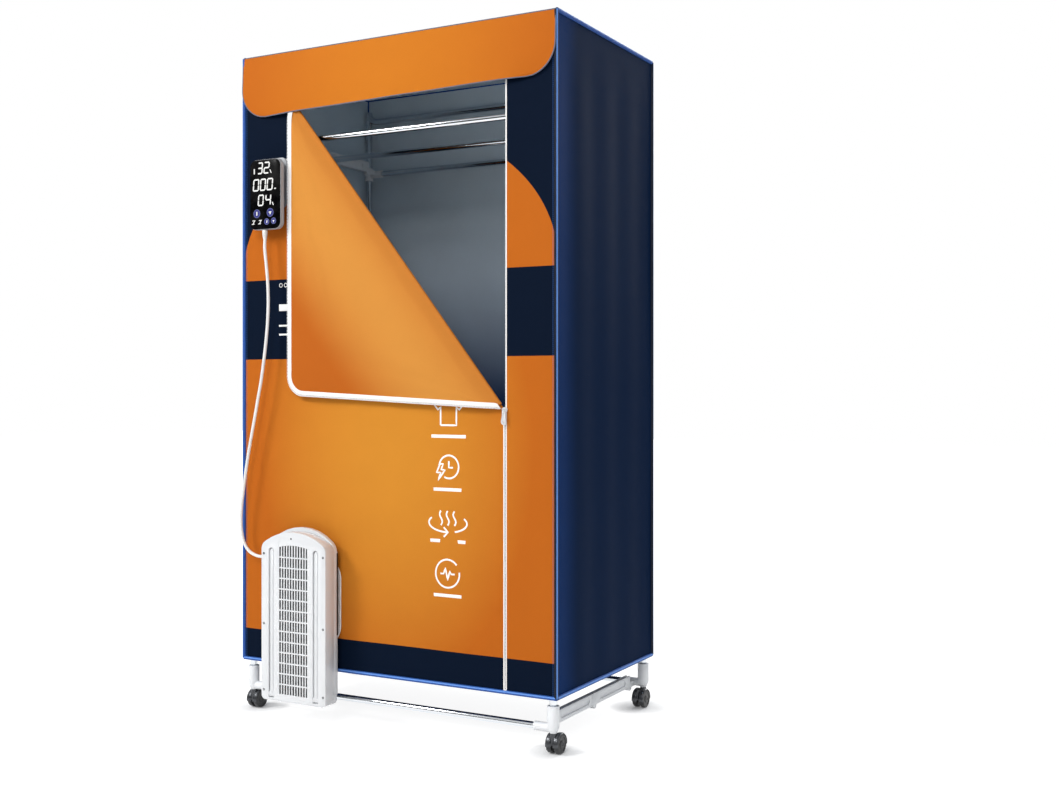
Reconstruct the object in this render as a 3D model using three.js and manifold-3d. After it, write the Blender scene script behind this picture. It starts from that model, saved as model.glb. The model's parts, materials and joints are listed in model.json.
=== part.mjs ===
// Folding fabric drying cabinet: a steel frame on casters, a zipped cloth cover, a blower host and its controller.
// Millimetres, +Z up, +X to the right, the front faces -Y. The origin is on the floor, under the middle of the
// whole object.
import * as THREE from "three";
import { mergeVertices } from "three/addons/utils/BufferGeometryUtils.js";
import Module from "manifold-3d";

const wasm = await Module();
wasm.setup();

// ---------------------------------------------------------------- driving dimensions

// Fits
const seat = 0.3; // gap between faces that touch
const pivotPlay = 0.3; // radial play of a pin in its eye
const sideGap = 0.5; // gap beside a face that moves past another

// Cloth cover
const coverWidth = 800;
const coverDepth = 475;
const coverHeight = 1360;
const hemHeight = 115;
const cloth = 2;
const pleatDepth = 3;
const pleatCount = 4;
const floorClothRise = 4;
const floorClothInset = 48;

// Front opening, zip and door flap
const zipInset = 116.5; // from the cover's right side
const zipSliderZ = 688;
const zipTopGap = 102; // from the roof down to the upper end of the zip
const tapeWidth = 3; // each half of the zip
const tapeThickness = 2.6;
const zipChannel = 1.6; // between the two rows of teeth
const flapInset = 132; // from the cover's left side
const flapCornerZ = 712;
const flapCornerRadius = 42;
const flapFoldRoll = 6;
const flapStandOff = 6;
const flapBelly = 7;

// Zip slider and pull
const sliderHeight = 15;
const sliderWidth = 10;
const sliderPlate = 1.8;
const sliderWeb = 1;
const loopRadius = 3;
const loopWidth = 2.4;
const loopSink = 0.6;
const pullPinRadius = 1;
const pullLength = 27;
const pullWidth = 7;
const pullThickness = 1.8;
const pullHead = 1.9; // above the pin
const bottomStop = 5;

// Valance
const valanceHeight = 132;
const valanceCorner = 65;
const valanceFlare = 10.5;
const valanceHug = 0.6; // share of the flare that the two ends give up

// Tubes and posts
const postDiameter = 16;
const tubeWall = 0.9;
const postInsetX = 15;
const postInsetY = 16;
const railDiameter = 14;
const baseRailHeight = 53;
const shelfHeight = 1278;
const topBendRadius = 26;
const topLeg = 12; // straight end of the top rail, above the post
const spigotLength = 30;

// Brackets: base sockets and shelf collars
const socketRadius = 12.5;
const socketFoot = 7; // radius at the bottom, over the caster
const socketTaperTop = 55;
const collarRadius = 10.5;
const armRadius = 9.2;
const armReach = 42; // from the post axis to the mouth that takes the rail
const railSeatDepth = 22;
const socketTop = 97;
const postSeat = 56;
const collarHalfHeight = 16;

// Folding links
const linkPlaneInset = 21; // from the post axis to the middle plane of the links
const pivotOffset = 38; // from the post axis to the pivot
const basePivotHeight = 48;
const linkHeight = 26;
const linkThickness = 11;
const tongueThickness = 4;
const eyeRadius = 8;
const pinRadius = 3.5;
const pocketDepth = 3;
const pocketWidth = 12;
const pocketEndGap = 24;
const earDrop = 3; // how far the ear's neck reaches under the pivot line

// Casters
const wheelRadius = 19;
const wheelWidth = 11;
const wheelGap = 0.6;
const casterWeb = 5;
const casterTrail = 12;
const hoodSkirt = 3; // how far the hood reaches under the axle's height
const hoodGap = 1;
const hoodWall = 3; // at the crown over each wheel
const hoodRimDrop = 1.8; // the hood's sides are lower than its crowns
const hoodValleyDrop = 2.4; // and so is the valley between the wheels
const hoodShoulder = 3.5; // from the hood's side to the crown
const hoodCrown = 4.5; // width of the crown
const casterBossRadius = 7;
const casterBossRise = 0.5; // above the crowns
const casterFacets = 14;
const axleRadius = 3;
const stemRadius = 4;
const stemLength = 12;

// Blower host
const hostInset = 190; // from the cover's left side to the host's middle line
const hostWidth = 175;
const hostBottom = 47;
const hostShoulder = 386;
const hostCrown = 30; // the top of the arch above the shoulders
const hostFront = 60; // from the cover's front plane to the face of the host
const hostCoverDepth = 30;
const hostFlangeDepth = 10;
const hostRearGap = 4; // between the plinth and the cover's front plane
const hostWall = 2.5;
const hostCorner = 10;
const flangeRise = 8;
const plinthInset = 10;
const bayHalfWidth = 50;
const bayBottom = 56;
const bayTopGap = 18; // under the top of the arch

// Grille
const grilleWidth = 80;
const grilleBottom = 63;
const grilleTopGap = 4; // under the shoulders
const grilleArch = 5;
const grilleRows = 14;
const grilleColumns = 11;
const grilleBar = 3;
const slotWidth = 4.4;
const grilleRibSink = 0.7; // from the face to the upright ribs

// Stand legs of the host
const legOffset = 60.5;
const legGroove = 15;
const legWidth = 12;
const legDepth = 8;
const legTopGap = 6; // under the shoulders
const legPivotZ = 60;
const knuckleRadius = 7;
const legPinRadius = 2.5;
const legPinReach = 3;

// Air port, fan and heater
const portZ = 263;
const portWidth = 148;
const portHeight = 170;
const portCorner = 34;
const portRim = 10;
const rimThickness = 1.8;
const spigotPlay = 2;
const spigotWall = 2.5;
const spigotReach = 14; // past the cover's front plane
const fanRadius = 47;
const fanPlay = 2;
const fanDepth = 24;
const hubRadius = 22;
const hubWall = 3;
const bladeCount = 7;
const bladeThickness = 1.8;
const bladePitch = 38; // degrees
const motorRadius = 17;
const motorSeat = 3; // rim of the plate behind the motor
const hubPlay = 1.2; // between the hub's inside and the motor
const motorLength = 20;
const shaftRadius = 2.5;
const spiderArm = 7;
const spiderWall = 4;
const heaterDepth = 12;
const heaterFrame = 9;
const heaterFins = 9;
const heaterFinGap = 7.5;

// Hooks that hang the host on the base rail
const hookOffset = 45;
const hookWidth = 14;
const hookWall = 4;
const hookDrop = 13;

// Window, cradle and controller
const windowInset = 54; // from the cover's left side
const windowWidth = 110;
const windowBottom = 1182;
const windowTop = 1232;
const windowCorner = 14;
const windowRim = 6;
const controllerInset = 90.5; // from the cover's left side to the middle of the controller
const controllerZ = 1157;
const controllerWidth = 87;
const controllerHeight = 156;
const controllerCorner = 16;
const controllerFront = 35; // from the cover's front plane to the glass
const controllerDepth = 14;
const glassThickness = 1.6;
const glassInset = 1.2;
const cradleReachLeft = 32.5; // from the middle of the controller
const cradleReachRight = 36.5;
const cradleTop = 1241;
const cradleBottom = 1128;
const cradleBase = 3; // the plate that lies on the cover
const cradleCorner = 14;
const cradleHookWidth = 30;
const cradleHookDrop = 12;

// Cord and its strain relief
const cordDiameter = 7;
const reliefLength = 21;
const reliefTopRadius = 6;
const reliefOffset = 6.5; // from the middle of the controller
const cordExitDrop = 34; // under the host's shoulders
const glandLength = 8;
const glandRadius = 4.8;

// ---------------------------------------------------------------- places that follow from the sizes

const coverTop = hemHeight + coverHeight;
const halfWidth = coverWidth / 2;
const zipX = halfWidth - zipInset;
const flapLeftX = -halfWidth + flapInset;
const postX = halfWidth - postInsetX;
const postRadius = postDiameter / 2;
const railRadius = railDiameter / 2;
const frontPostY = postInsetY;
const rearPostY = coverDepth - postInsetY;
const middleY = (frontPostY + rearPostY) / 2;
const linkLength = middleY - frontPostY - pivotOffset;
const linkX = postX - linkPlaneInset;
const topRailZ = coverTop - cloth - seat - postRadius;
const topBendStart = topRailZ - topBendRadius;
const slotReach = eyeRadius + 1.5; // where a link's full thickness starts, from its pivot
const hoodOuter = wheelRadius + hoodGap + hoodWall;
const casterTop = wheelRadius + hoodOuter + casterBossRise;
const socketBottom = casterTop + seat;
const zipTop = coverTop - zipTopGap;
const stripLeft = zipX + zipChannel / 2 + tapeWidth + seat;
const slitLeft = zipX - zipChannel / 2 - tapeWidth - seat;
const hostX = -halfWidth + hostInset;
const hostHalf = hostWidth / 2;
const hostApex = hostShoulder + hostCrown;
const bayTop = hostApex - bayTopGap;
const grilleTop = hostShoulder - grilleTopGap;
const legTop = hostShoulder - legTopGap;
const hostSplitY = -(hostFront - hostCoverDepth);
const plinthY = -hostRearGap;
const windowLeft = -halfWidth + windowInset;
const windowRight = windowLeft + windowWidth;
const controllerX = -halfWidth + controllerInset;
const controllerBackY = -(controllerFront - controllerDepth);
const cradleLeft = controllerX - cradleReachLeft;
const cradleRight = controllerX + cradleReachRight;
const reliefX = controllerX - reliefOffset;
const cordExitZ = hostShoulder - cordExitDrop;
const glandY = hostSplitY + hostFlangeDepth / 2;
const rearY = coverDepth;
const centreY = (rearY - hostFront) / 2;

// ---------------------------------------------------------------- finishes

const finishes = {
  chrome: { color: 0xc9cdd1, roughness: 0.18, metalness: 1 },
  whitePlastic: { color: 0xe9ebec, roughness: 0.42, metalness: 0 },
  glossWhite: { color: 0xeef0f1, roughness: 0.22, metalness: 0 },
  darkPlastic: { color: 0x3a3d40, roughness: 0.35, metalness: 0.2 },
  tread: { color: 0x2a2c2e, roughness: 0.5, metalness: 0 },
  print: { color: 0xd8822b, roughness: 0.7, metalness: 0 },
  navyCloth: { color: 0x12284d, roughness: 0.75, metalness: 0 },
  valanceCloth: { color: 0xd67f28, roughness: 0.7, metalness: 0 },
  whiteTape: { color: 0xeeeeec, roughness: 0.6, metalness: 0 },
  zincSlider: { color: 0xd5d7d9, roughness: 0.3, metalness: 0.8 },
  blackGlass: { color: 0x050607, roughness: 0.06, metalness: 0 },
  greyPlastic: { color: 0x9a9da0, roughness: 0.4, metalness: 0.1 },
  aluminiumFins: { color: 0xb6babd, roughness: 0.4, metalness: 0.9 },
  blackPlastic: { color: 0x1c1d1f, roughness: 0.45, metalness: 0 },
  cordWhite: { color: 0xf0f0ee, roughness: 0.45, metalness: 0 },
};

// ---------------------------------------------------------------- solids

function toSolid(geometry) {
  const bare = geometry.clone();
  bare.deleteAttribute("normal");
  bare.deleteAttribute("uv");
  const merged = mergeVertices(bare, 1e-4);
  const vertProperties = new Float32Array(merged.attributes.position.array);
  const triVerts = new Uint32Array(merged.index.array);
  return new wasm.Manifold(new wasm.Mesh({ numProp: 3, vertProperties, triVerts }));
}

function toGeometry(solid) {
  const mesh = solid.getMesh();
  const geometry = new THREE.BufferGeometry();
  geometry.setAttribute("position", new THREE.BufferAttribute(mesh.vertProperties, 3));
  geometry.setIndex(new THREE.BufferAttribute(mesh.triVerts, 1));
  return geometry;
}

function join(...geometries) {
  const solids = geometries.map(toSolid);
  return toGeometry(solids.reduce((whole, piece) => whole.add(piece)));
}

function cut(body, ...tools) {
  const start = toSolid(body);
  return toGeometry(tools.map(toSolid).reduce((rest, tool) => rest.subtract(tool), start));
}

// ---------------------------------------------------------------- basic forms

function block([x0, x1], [y0, y1], [z0, z1]) {
  const geometry = new THREE.BoxGeometry(x1 - x0, y1 - y0, z1 - z0);
  return geometry.translate((x0 + x1) / 2, (y0 + y1) / 2, (z0 + z1) / 2);
}

const AXES = {
  x: new THREE.Matrix4().makeBasis(
    new THREE.Vector3(0, 1, 0),
    new THREE.Vector3(1, 0, 0),
    new THREE.Vector3(0, 0, -1),
  ),
  y: new THREE.Matrix4(),
  z: new THREE.Matrix4().makeRotationX(Math.PI / 2),
};

// A round bar along an axis through the point [x, y, z], from one station to the other on that axis.
function bar(axis, radius, [from, to], [x, y, z], sides = 10) {
  const geometry = new THREE.CylinderGeometry(radius, radius, to - from, sides);
  geometry.rotateY(Math.PI / sides);
  geometry.applyMatrix4(AXES[axis]);
  const middle = (from + to) / 2;
  return geometry.translate(
    x + (axis === "x" ? middle : 0),
    y + (axis === "y" ? middle : 0),
    z + (axis === "z" ? middle : 0),
  );
}

// An upright cone, from one radius at its lower station to the other at its upper station.
function taper([lower, upper], [from, to], [x, y], sides) {
  const geometry = new THREE.CylinderGeometry(upper, lower, to - from, sides);
  geometry.rotateY(Math.PI / sides);
  return geometry.applyMatrix4(AXES.z).translate(x, y, (from + to) / 2);
}

// A bar whose flats, and not only its corners, lie at the radius: the tool for a hole.
function drill(axis, radius, span, point, sides = 10) {
  return bar(axis, radius / Math.cos(Math.PI / sides), span, point, sides);
}

function extrude(shape, depth, curveSegments) {
  return new THREE.ExtrudeGeometry(shape, { depth, bevelEnabled: false, curveSegments });
}

const FACING = new THREE.Matrix4().makeBasis(
  new THREE.Vector3(1, 0, 0),
  new THREE.Vector3(0, 0, 1),
  new THREE.Vector3(0, -1, 0),
);
const SIDEWAYS = new THREE.Matrix4().makeBasis(
  new THREE.Vector3(0, 1, 0),
  new THREE.Vector3(0, 0, 1),
  new THREE.Vector3(1, 0, 0),
);

// A plate whose outline is drawn in X and Z, between two planes of Y.
function facing(shape, [y0, y1], curveSegments = 6) {
  return extrude(shape, y1 - y0, curveSegments).applyMatrix4(FACING).translate(0, y1, 0);
}

// A plate whose outline is drawn in Y and Z, between two planes of X.
function sideways(shape, [x0, x1], curveSegments = 6) {
  return extrude(shape, x1 - x0, curveSegments).applyMatrix4(SIDEWAYS).translate(x0, 0, 0);
}

// A tube of the given outer radius along X or Z.
function tube(axis, radius, [from, to], [x, y, z], sides = 12) {
  const ring = new THREE.Shape().absarc(0, 0, radius, 0, 2 * Math.PI);
  ring.holes.push(new THREE.Path().absarc(0, 0, radius - tubeWall, 0, 2 * Math.PI));
  const geometry = extrude(ring, to - from, sides / 2);
  if (axis === "x") geometry.applyMatrix4(SIDEWAYS);
  return geometry.translate(x + (axis === "x" ? from : 0), y, z + (axis === "z" ? from : 0));
}

function roundedRectangle(x0, x1, z0, z1, radius) {
  const shape = new THREE.Shape();
  shape.moveTo(x0 + radius, z0);
  shape.lineTo(x1 - radius, z0);
  shape.absarc(x1 - radius, z0 + radius, radius, -Math.PI / 2, 0);
  shape.lineTo(x1, z1 - radius);
  shape.absarc(x1 - radius, z1 - radius, radius, 0, Math.PI / 2);
  shape.lineTo(x0 + radius, z1);
  shape.absarc(x0 + radius, z1 - radius, radius, Math.PI / 2, Math.PI);
  shape.lineTo(x0, z0 + radius);
  shape.absarc(x0 + radius, z0 + radius, radius, Math.PI, 1.5 * Math.PI);
  return shape;
}

// A closed sheet of cloth from a function that gives its back point and its thickness towards the front.
function sheet(columns, rows, pointAt) {
  const positions = [];
  const faces = [];
  const perLayer = (columns + 1) * (rows + 1);
  const layers = [[], []];
  for (let j = 0; j <= rows; j++) {
    for (let i = 0; i <= columns; i++) {
      const { back, thickness } = pointAt(i / columns, j / rows);
      layers[0].push(back.x, back.y, back.z);
      layers[1].push(back.x, back.y - thickness, back.z);
    }
  }
  positions.push(...layers[0], ...layers[1]);
  const at = (i, j, layer) => layer * perLayer + j * (columns + 1) + i;
  const quad = (a, b, c, d) => faces.push(a, b, c, a, c, d);
  for (let j = 0; j < rows; j++) {
    for (let i = 0; i < columns; i++) {
      quad(at(i, j, 0), at(i, j + 1, 0), at(i + 1, j + 1, 0), at(i + 1, j, 0));
      quad(at(i, j, 1), at(i + 1, j, 1), at(i + 1, j + 1, 1), at(i, j + 1, 1));
    }
  }
  for (let i = 0; i < columns; i++) {
    quad(at(i, 0, 0), at(i + 1, 0, 0), at(i + 1, 0, 1), at(i, 0, 1));
    quad(at(i + 1, rows, 0), at(i, rows, 0), at(i, rows, 1), at(i + 1, rows, 1));
  }
  for (let j = 0; j < rows; j++) {
    quad(at(0, j + 1, 0), at(0, j, 0), at(0, j, 1), at(0, j + 1, 1));
    quad(at(columns, j, 0), at(columns, j + 1, 0), at(columns, j + 1, 1), at(columns, j, 1));
  }
  const geometry = new THREE.BufferGeometry();
  geometry.setAttribute("position", new THREE.Float32BufferAttribute(positions, 3));
  geometry.setIndex(faces);
  return geometry;
}

// ---------------------------------------------------------------- assembly

const cabinet = new THREE.Group();
cabinet.position.y = -centreY;

function add(name, geometry, finish) {
  const mesh = new THREE.Mesh(geometry, new THREE.MeshStandardMaterial(finishes[finish]));
  mesh.name = name;
  cabinet.add(mesh);
}

const sides = [
  { name: "left", sign: -1 },
  { name: "right", sign: 1 },
];
const ends = [
  { name: "front", postY: frontPostY, inward: 1 },
  { name: "rear", postY: rearPostY, inward: -1 },
];

// A span of X measured from the middle plane outwards, on the left or right side.
const outward = (sign, near, far) => (sign > 0 ? [near, far] : [-far, -near]);
// A span of Y measured from a post towards the middle of the cabinet.
const inwards = ({ postY, inward }, near, far) =>
  inward > 0 ? [postY + near, postY + far] : [postY - far, postY - near];

// ---------------------------------------------------------------- brackets on the posts

// The ear that carries a link: an eye at the pivot and a neck back to the bracket's arm.
function ear(sign, end, pivotZ) {
  const span = outward(sign, linkX - tongueThickness / 2, linkX + tongueThickness / 2);
  const pivotY = end.postY + end.inward * pivotOffset;
  const neckZ = [pivotZ - earDrop, pivotZ + eyeRadius];
  return join(
    bar("x", eyeRadius, span, [0, pivotY, pivotZ]),
    block(span, inwards(end, 0, pivotOffset), neckZ),
  );
}

function bracket(sign, end, { radius, bodyZ, armZ, pivotZ, postBore }) {
  const axis = [sign * postX, end.postY, 0];
  const pivotY = end.postY + end.inward * pivotOffset;
  const span = outward(sign, linkX - linkThickness, linkX + linkThickness);
  const body = join(
    bar("z", radius, bodyZ, axis, 14),
    bar("x", armRadius, outward(sign, postX - armReach, postX), [0, end.postY, armZ]),
    ear(sign, end, pivotZ),
  );
  const railSeat = outward(sign, postX - armReach - 1, postX - armReach + railSeatDepth);
  return cut(
    body,
    drill("z", postRadius + seat, postBore, axis),
    drill("x", railRadius + seat, railSeat, [0, end.postY, armZ]),
    drill("x", pinRadius + pivotPlay, span, [0, pivotY, pivotZ]),
  );
}

// A base socket: its body narrows to the caster and is bored for the caster's stem.
function baseSocket(sign, end) {
  const axis = [sign * postX, end.postY, 0];
  const body = bracket(sign, end, {
    radius: socketRadius,
    bodyZ: [socketTaperTop, socketTop],
    armZ: baseRailHeight,
    pivotZ: basePivotHeight,
    postBore: [postSeat, socketTop + 1],
  });
  const foot = taper([socketFoot, socketRadius], [socketBottom, socketTaperTop], axis, 14);
  const stemSeat = [socketBottom - 1, casterTop + stemLength + seat];
  return cut(join(body, foot), drill("z", stemRadius + pivotPlay, stemSeat, axis));
}

function shelfCollar(sign, end) {
  const reach = collarHalfHeight + 1;
  return bracket(sign, end, {
    radius: collarRadius,
    bodyZ: [shelfHeight - collarHalfHeight, shelfHeight + collarHalfHeight],
    armZ: shelfHeight,
    pivotZ: shelfHeight,
    postBore: [shelfHeight - reach, shelfHeight + reach],
  });
}

for (const side of sides) {
  for (const end of ends) {
    add(`base_socket_${end.name}_${side.name}`, baseSocket(side.sign, end), "whitePlastic");
    add(`shelf_collar_${end.name}_${side.name}`, shelfCollar(side.sign, end), "whitePlastic");
  }
}

// ---------------------------------------------------------------- posts and rails

const legEnd = topBendStart - topLeg;
const postTop = legEnd - seat;
for (const side of sides) {
  for (const end of ends) {
    const post = tube("z", postRadius, [postSeat + seat, postTop], [side.sign * postX, end.postY, 0]);
    add(`post_${end.name}_${side.name}`, post, "chrome");
  }
}

const railEnd = postX - armReach + railSeatDepth - seat;
for (const end of ends) {
  const span = [-railEnd, railEnd];
  add(`base_rail_${end.name}`, tube("x", railRadius, span, [0, end.postY, baseRailHeight]), "chrome");
  add(`shelf_rail_${end.name}`, tube("x", railRadius, span, [0, end.postY, shelfHeight]), "chrome");
}

// A path that steps evenly from one chosen point to the next, so that a bent tube has its rings in the bends.
class BentPath extends THREE.Curve {
  constructor(points) {
    super();
    this.points = points;
  }
  getPoint(t) {
    const place = Math.min(t, 1) * (this.points.length - 1);
    const index = Math.min(Math.floor(place), this.points.length - 2);
    return this.points[index].clone().lerp(this.points[index + 1], place - index);
  }
  getPointAt(u) {
    return this.getPoint(u);
  }
  getTangentAt(u) {
    return this.getTangent(u);
  }
}

// The top rail: one tube, bent down at both ends, with a spigot in each post.
function topRail(postY) {
  const bendSteps = 4;
  const points = [];
  for (const sign of [-1, 1]) {
    const bend = [legEnd, topBendStart].map((z) => new THREE.Vector3(sign * postX, postY, z));
    for (let step = 1; step <= bendSteps; step++) {
      const angle = (step / bendSteps) * (Math.PI / 2);
      const x = sign * (postX - topBendRadius * (1 - Math.cos(angle)));
      bend.push(new THREE.Vector3(x, postY, topBendStart + topBendRadius * Math.sin(angle)));
    }
    points.push(...(sign < 0 ? bend : bend.reverse()));
  }
  const section = new THREE.Shape().absarc(0, 0, postRadius, 0, 2 * Math.PI);
  const path = new BentPath(points);
  const options = { steps: points.length - 1, extrudePath: path, curveSegments: 5 };
  const arch = new THREE.ExtrudeGeometry(section, options);
  const spigotRadius = postRadius - tubeWall - seat;
  const spigots = [-1, 1].map((sign) => {
    const span = [legEnd - spigotLength, legEnd + 1];
    return bar("z", spigotRadius, span, [sign * postX, postY, 0], 12);
  });
  return join(arch, ...spigots);
}

for (const end of ends) add(`top_rail_${end.name}`, topRail(end.postY), "chrome");

// ---------------------------------------------------------------- folding links

// A link's pivots lie on its lower edge. It is drawn from its front pivot to its rear pivot.
function linkBlank(sign, frontY, pivotZ, { frontStop, rearStop }) {
  const span = outward(sign, linkX - linkThickness / 2, linkX + linkThickness / 2);
  const rearY = frontY + linkLength;
  const plate = block(span, [frontY - frontStop, rearY + rearStop], [pivotZ, pivotZ + linkHeight]);
  const eyes = [frontY, rearY].map((y) => bar("x", eyeRadius, span, [0, y, pivotZ]));
  return join(plate, ...eyes);
}

// The long pocket that leaves a rib around each face of a link.
function pockets(sign, frontY, pivotZ) {
  const middle = pivotZ + linkHeight / 2;
  const from = frontY + pocketEndGap;
  const to = frontY + linkLength - pocketEndGap;
  const outline = roundedRectangle(
    from,
    to,
    middle - pocketWidth / 2,
    middle + pocketWidth / 2,
    pocketWidth / 2 - 0.01,
  );
  const inner = linkX - linkThickness / 2;
  const outer = linkX + linkThickness / 2;
  return [
    sideways(outline, outward(sign, inner - 1, inner + pocketDepth), 2),
    sideways(outline, outward(sign, outer - pocketDepth, outer + 1), 2),
  ];
}

// The slot of a fork, open all round its pivot.
function forkSlot(sign, pivotY, pivotZ, towards) {
  const half = tongueThickness / 2 + sideGap;
  const span = outward(sign, linkX - half, linkX + half);
  const reach = eyeRadius + linkHeight;
  const ys = towards > 0 ? [pivotY - reach, pivotY + slotReach] : [pivotY - slotReach, pivotY + reach];
  return block(span, ys, [pivotZ - reach, pivotZ + reach]);
}

// The two steps that thin an end down to its tongue.
function tongueSteps(sign, pivotY, pivotZ) {
  const reach = eyeRadius + linkHeight;
  const half = tongueThickness / 2;
  const ys = [pivotY - slotReach, pivotY + reach];
  const zs = [pivotZ - reach, pivotZ + reach];
  return [
    block(outward(sign, linkX - linkThickness, linkX - half), ys, zs),
    block(outward(sign, linkX + half, linkX + linkThickness), ys, zs),
  ];
}

const pinSpan = (sign) => outward(sign, linkX - linkThickness / 2, linkX + linkThickness / 2);
const holeSpan = (sign) => outward(sign, linkX - linkThickness, linkX + linkThickness);

// The front half: a fork with its pin at the bracket, a tongue at the middle.
function frontLink(sign, frontY, pivotZ) {
  const middle = frontY + linkLength;
  const blank = linkBlank(sign, frontY, pivotZ, { frontStop: 0, rearStop: 0 });
  const shaped = cut(
    blank,
    ...pockets(sign, frontY, pivotZ),
    forkSlot(sign, frontY, pivotZ, 1),
    ...tongueSteps(sign, middle, pivotZ),
    drill("x", pinRadius + pivotPlay, holeSpan(sign), [0, middle, pivotZ]),
  );
  return join(shaped, bar("x", pinRadius, pinSpan(sign), [0, frontY, pivotZ]));
}

// The rear half: a fork at both ends. Its leaves stop against the front half when the frame is straight.
function rearLink(sign, frontY, pivotZ, middlePin) {
  const rearPivot = frontY + linkLength;
  const blank = linkBlank(sign, frontY, pivotZ, { frontStop: slotReach - seat, rearStop: 0 });
  const shaped = cut(
    blank,
    ...pockets(sign, frontY, pivotZ),
    forkSlot(sign, frontY, pivotZ, 1),
    forkSlot(sign, rearPivot, pivotZ, -1),
  );
  const rearPin = bar("x", pinRadius, pinSpan(sign), [0, rearPivot, pivotZ]);
  const frontPoint = [0, frontY, pivotZ];
  if (middlePin) return join(shaped, rearPin, bar("x", pinRadius, pinSpan(sign), frontPoint));
  return join(cut(shaped, drill("x", pinRadius + pivotPlay, holeSpan(sign), frontPoint)), rearPin);
}

const levels = [
  { name: "base", pivotZ: basePivotHeight, middlePin: true },
  { name: "shelf", pivotZ: shelfHeight, middlePin: false },
];
const frontPivotY = frontPostY + pivotOffset;
for (const side of sides) {
  for (const level of levels) {
    const front = frontLink(side.sign, frontPivotY, level.pivotZ);
    const rear = rearLink(side.sign, middleY, level.pivotZ, level.middlePin);
    add(`${level.name}_link_front_${side.name}`, front, "whitePlastic");
    add(`${level.name}_link_rear_${side.name}`, rear, "whitePlastic");
  }
}

// The hanging rail: its thin ends are the middle pins of the shelf links.
function hangingRail() {
  const shoulder = linkX - linkThickness / 2 - sideGap;
  const tip = linkX + linkThickness / 2;
  const point = [0, middleY, shelfHeight];
  return join(
    bar("x", railRadius, [-shoulder, shoulder], point, 16),
    bar("x", pinRadius, [-tip, tip], point),
  );
}

add("hanging_rail", hangingRail(), "chrome");

// ---------------------------------------------------------------- casters

// The hood, web and stem. The hood turns about the axle: a crown over each wheel and a valley between them. The
// wheels trail towards `inward`.
function casterFork(sign, end) {
  const x = sign * postX;
  const wheelY = end.postY + end.inward * casterTrail;
  const axle = [0, wheelY, wheelRadius];
  const halfSpan = casterWeb / 2 + wheelGap + wheelWidth;
  const crownEdge = halfSpan - hoodShoulder;
  const profile = [
    [0, -halfSpan],
    [hoodOuter - hoodRimDrop, -halfSpan],
    [hoodOuter, -crownEdge],
    [hoodOuter, hoodCrown - crownEdge],
    [hoodOuter - hoodValleyDrop, 0],
    [hoodOuter, crownEdge - hoodCrown],
    [hoodOuter, crownEdge],
    [hoodOuter - hoodRimDrop, halfSpan],
    [0, halfSpan],
  ].map(([radius, along]) => new THREE.Vector2(radius, along));
  const hood = new THREE.LatheGeometry(profile, casterFacets);
  hood.rotateY(Math.PI / casterFacets).rotateZ(-Math.PI / 2).translate(x, wheelY, wheelRadius);
  const boss = bar("z", casterBossRadius, [wheelRadius, casterTop], [x, end.postY, 0]);
  const web = new THREE.Shape();
  web.moveTo(wheelY + wheelRadius, wheelRadius);
  web.absarc(wheelY, wheelRadius, wheelRadius, 0, Math.PI);
  web.absarc(wheelY, wheelRadius, axleRadius + casterWeb, Math.PI, 2 * Math.PI);
  const hollow = wheelRadius + hoodGap;
  const pocketSpans = [
    [x - halfSpan - 1, x - casterWeb / 2],
    [x + casterWeb / 2, x + halfSpan + 1],
  ];
  const across = [x - halfSpan - 1, x + halfSpan + 1];
  const shell = cut(
    join(hood, boss),
    ...pocketSpans.map((span) => bar("x", hollow, span, axle, casterFacets)),
    block(across, [wheelY - hollow, wheelY + hollow], [-hoodOuter, wheelRadius]),
    block(across, [wheelY - 2 * hoodOuter, wheelY + 2 * hoodOuter], [-hoodOuter, wheelRadius - hoodSkirt]),
  );
  const whole = join(
    shell,
    sideways(web, [x - casterWeb / 2, x + casterWeb / 2], 4),
    bar("z", stemRadius, [casterTop - 1, casterTop + stemLength], [x, end.postY, 0], 12),
  );
  return cut(whole, drill("x", axleRadius + pivotPlay, across, axle, 12));
}

// Two wheels on one axle. A flat of each tread lies on the floor.
function casterWheels(sign, end) {
  const x = sign * postX;
  const wheelY = end.postY + end.inward * casterTrail;
  const rim = wheelRadius / Math.cos(Math.PI / casterFacets);
  const half = wheelWidth / 2;
  const profile = [
    [0, -half],
    [rim * 0.72, -half],
    [rim, -half + 2.2],
    [rim, half - 2.2],
    [rim * 0.86, half],
    [rim * 0.58, half - 1.6],
    [0, half - 1.6],
  ].map(([radius, along]) => new THREE.Vector2(radius, along));
  const wheelAt = (outwards) => {
    const wheel = new THREE.LatheGeometry(profile, casterFacets);
    wheel.rotateY(Math.PI / casterFacets);
    wheel.rotateZ(outwards > 0 ? -Math.PI / 2 : Math.PI / 2);
    const offset = casterWeb / 2 + wheelGap + half;
    return wheel.translate(x + outwards * offset, wheelY, wheelRadius);
  };
  const axleHalf = casterWeb / 2 + wheelGap + half;
  const axle = bar("x", axleRadius, [x - axleHalf, x + axleHalf], [0, wheelY, wheelRadius], 12);
  return join(wheelAt(-1), wheelAt(1), axle);
}

for (const side of sides) {
  for (const end of ends) {
    add(`caster_fork_${end.name}_${side.name}`, casterFork(side.sign, end), "darkPlastic");
    add(`caster_wheels_${end.name}_${side.name}`, casterWheels(side.sign, end), "tread");
  }
}

// ---------------------------------------------------------------- cloth cover

const through = [-10, 10]; // a cutter's span of Y, well past the cloth on both sides
const foldTop = new THREE.Vector2(flapLeftX, zipTop);
const foldBottom = new THREE.Vector2(slitLeft, zipSliderZ);

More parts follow.
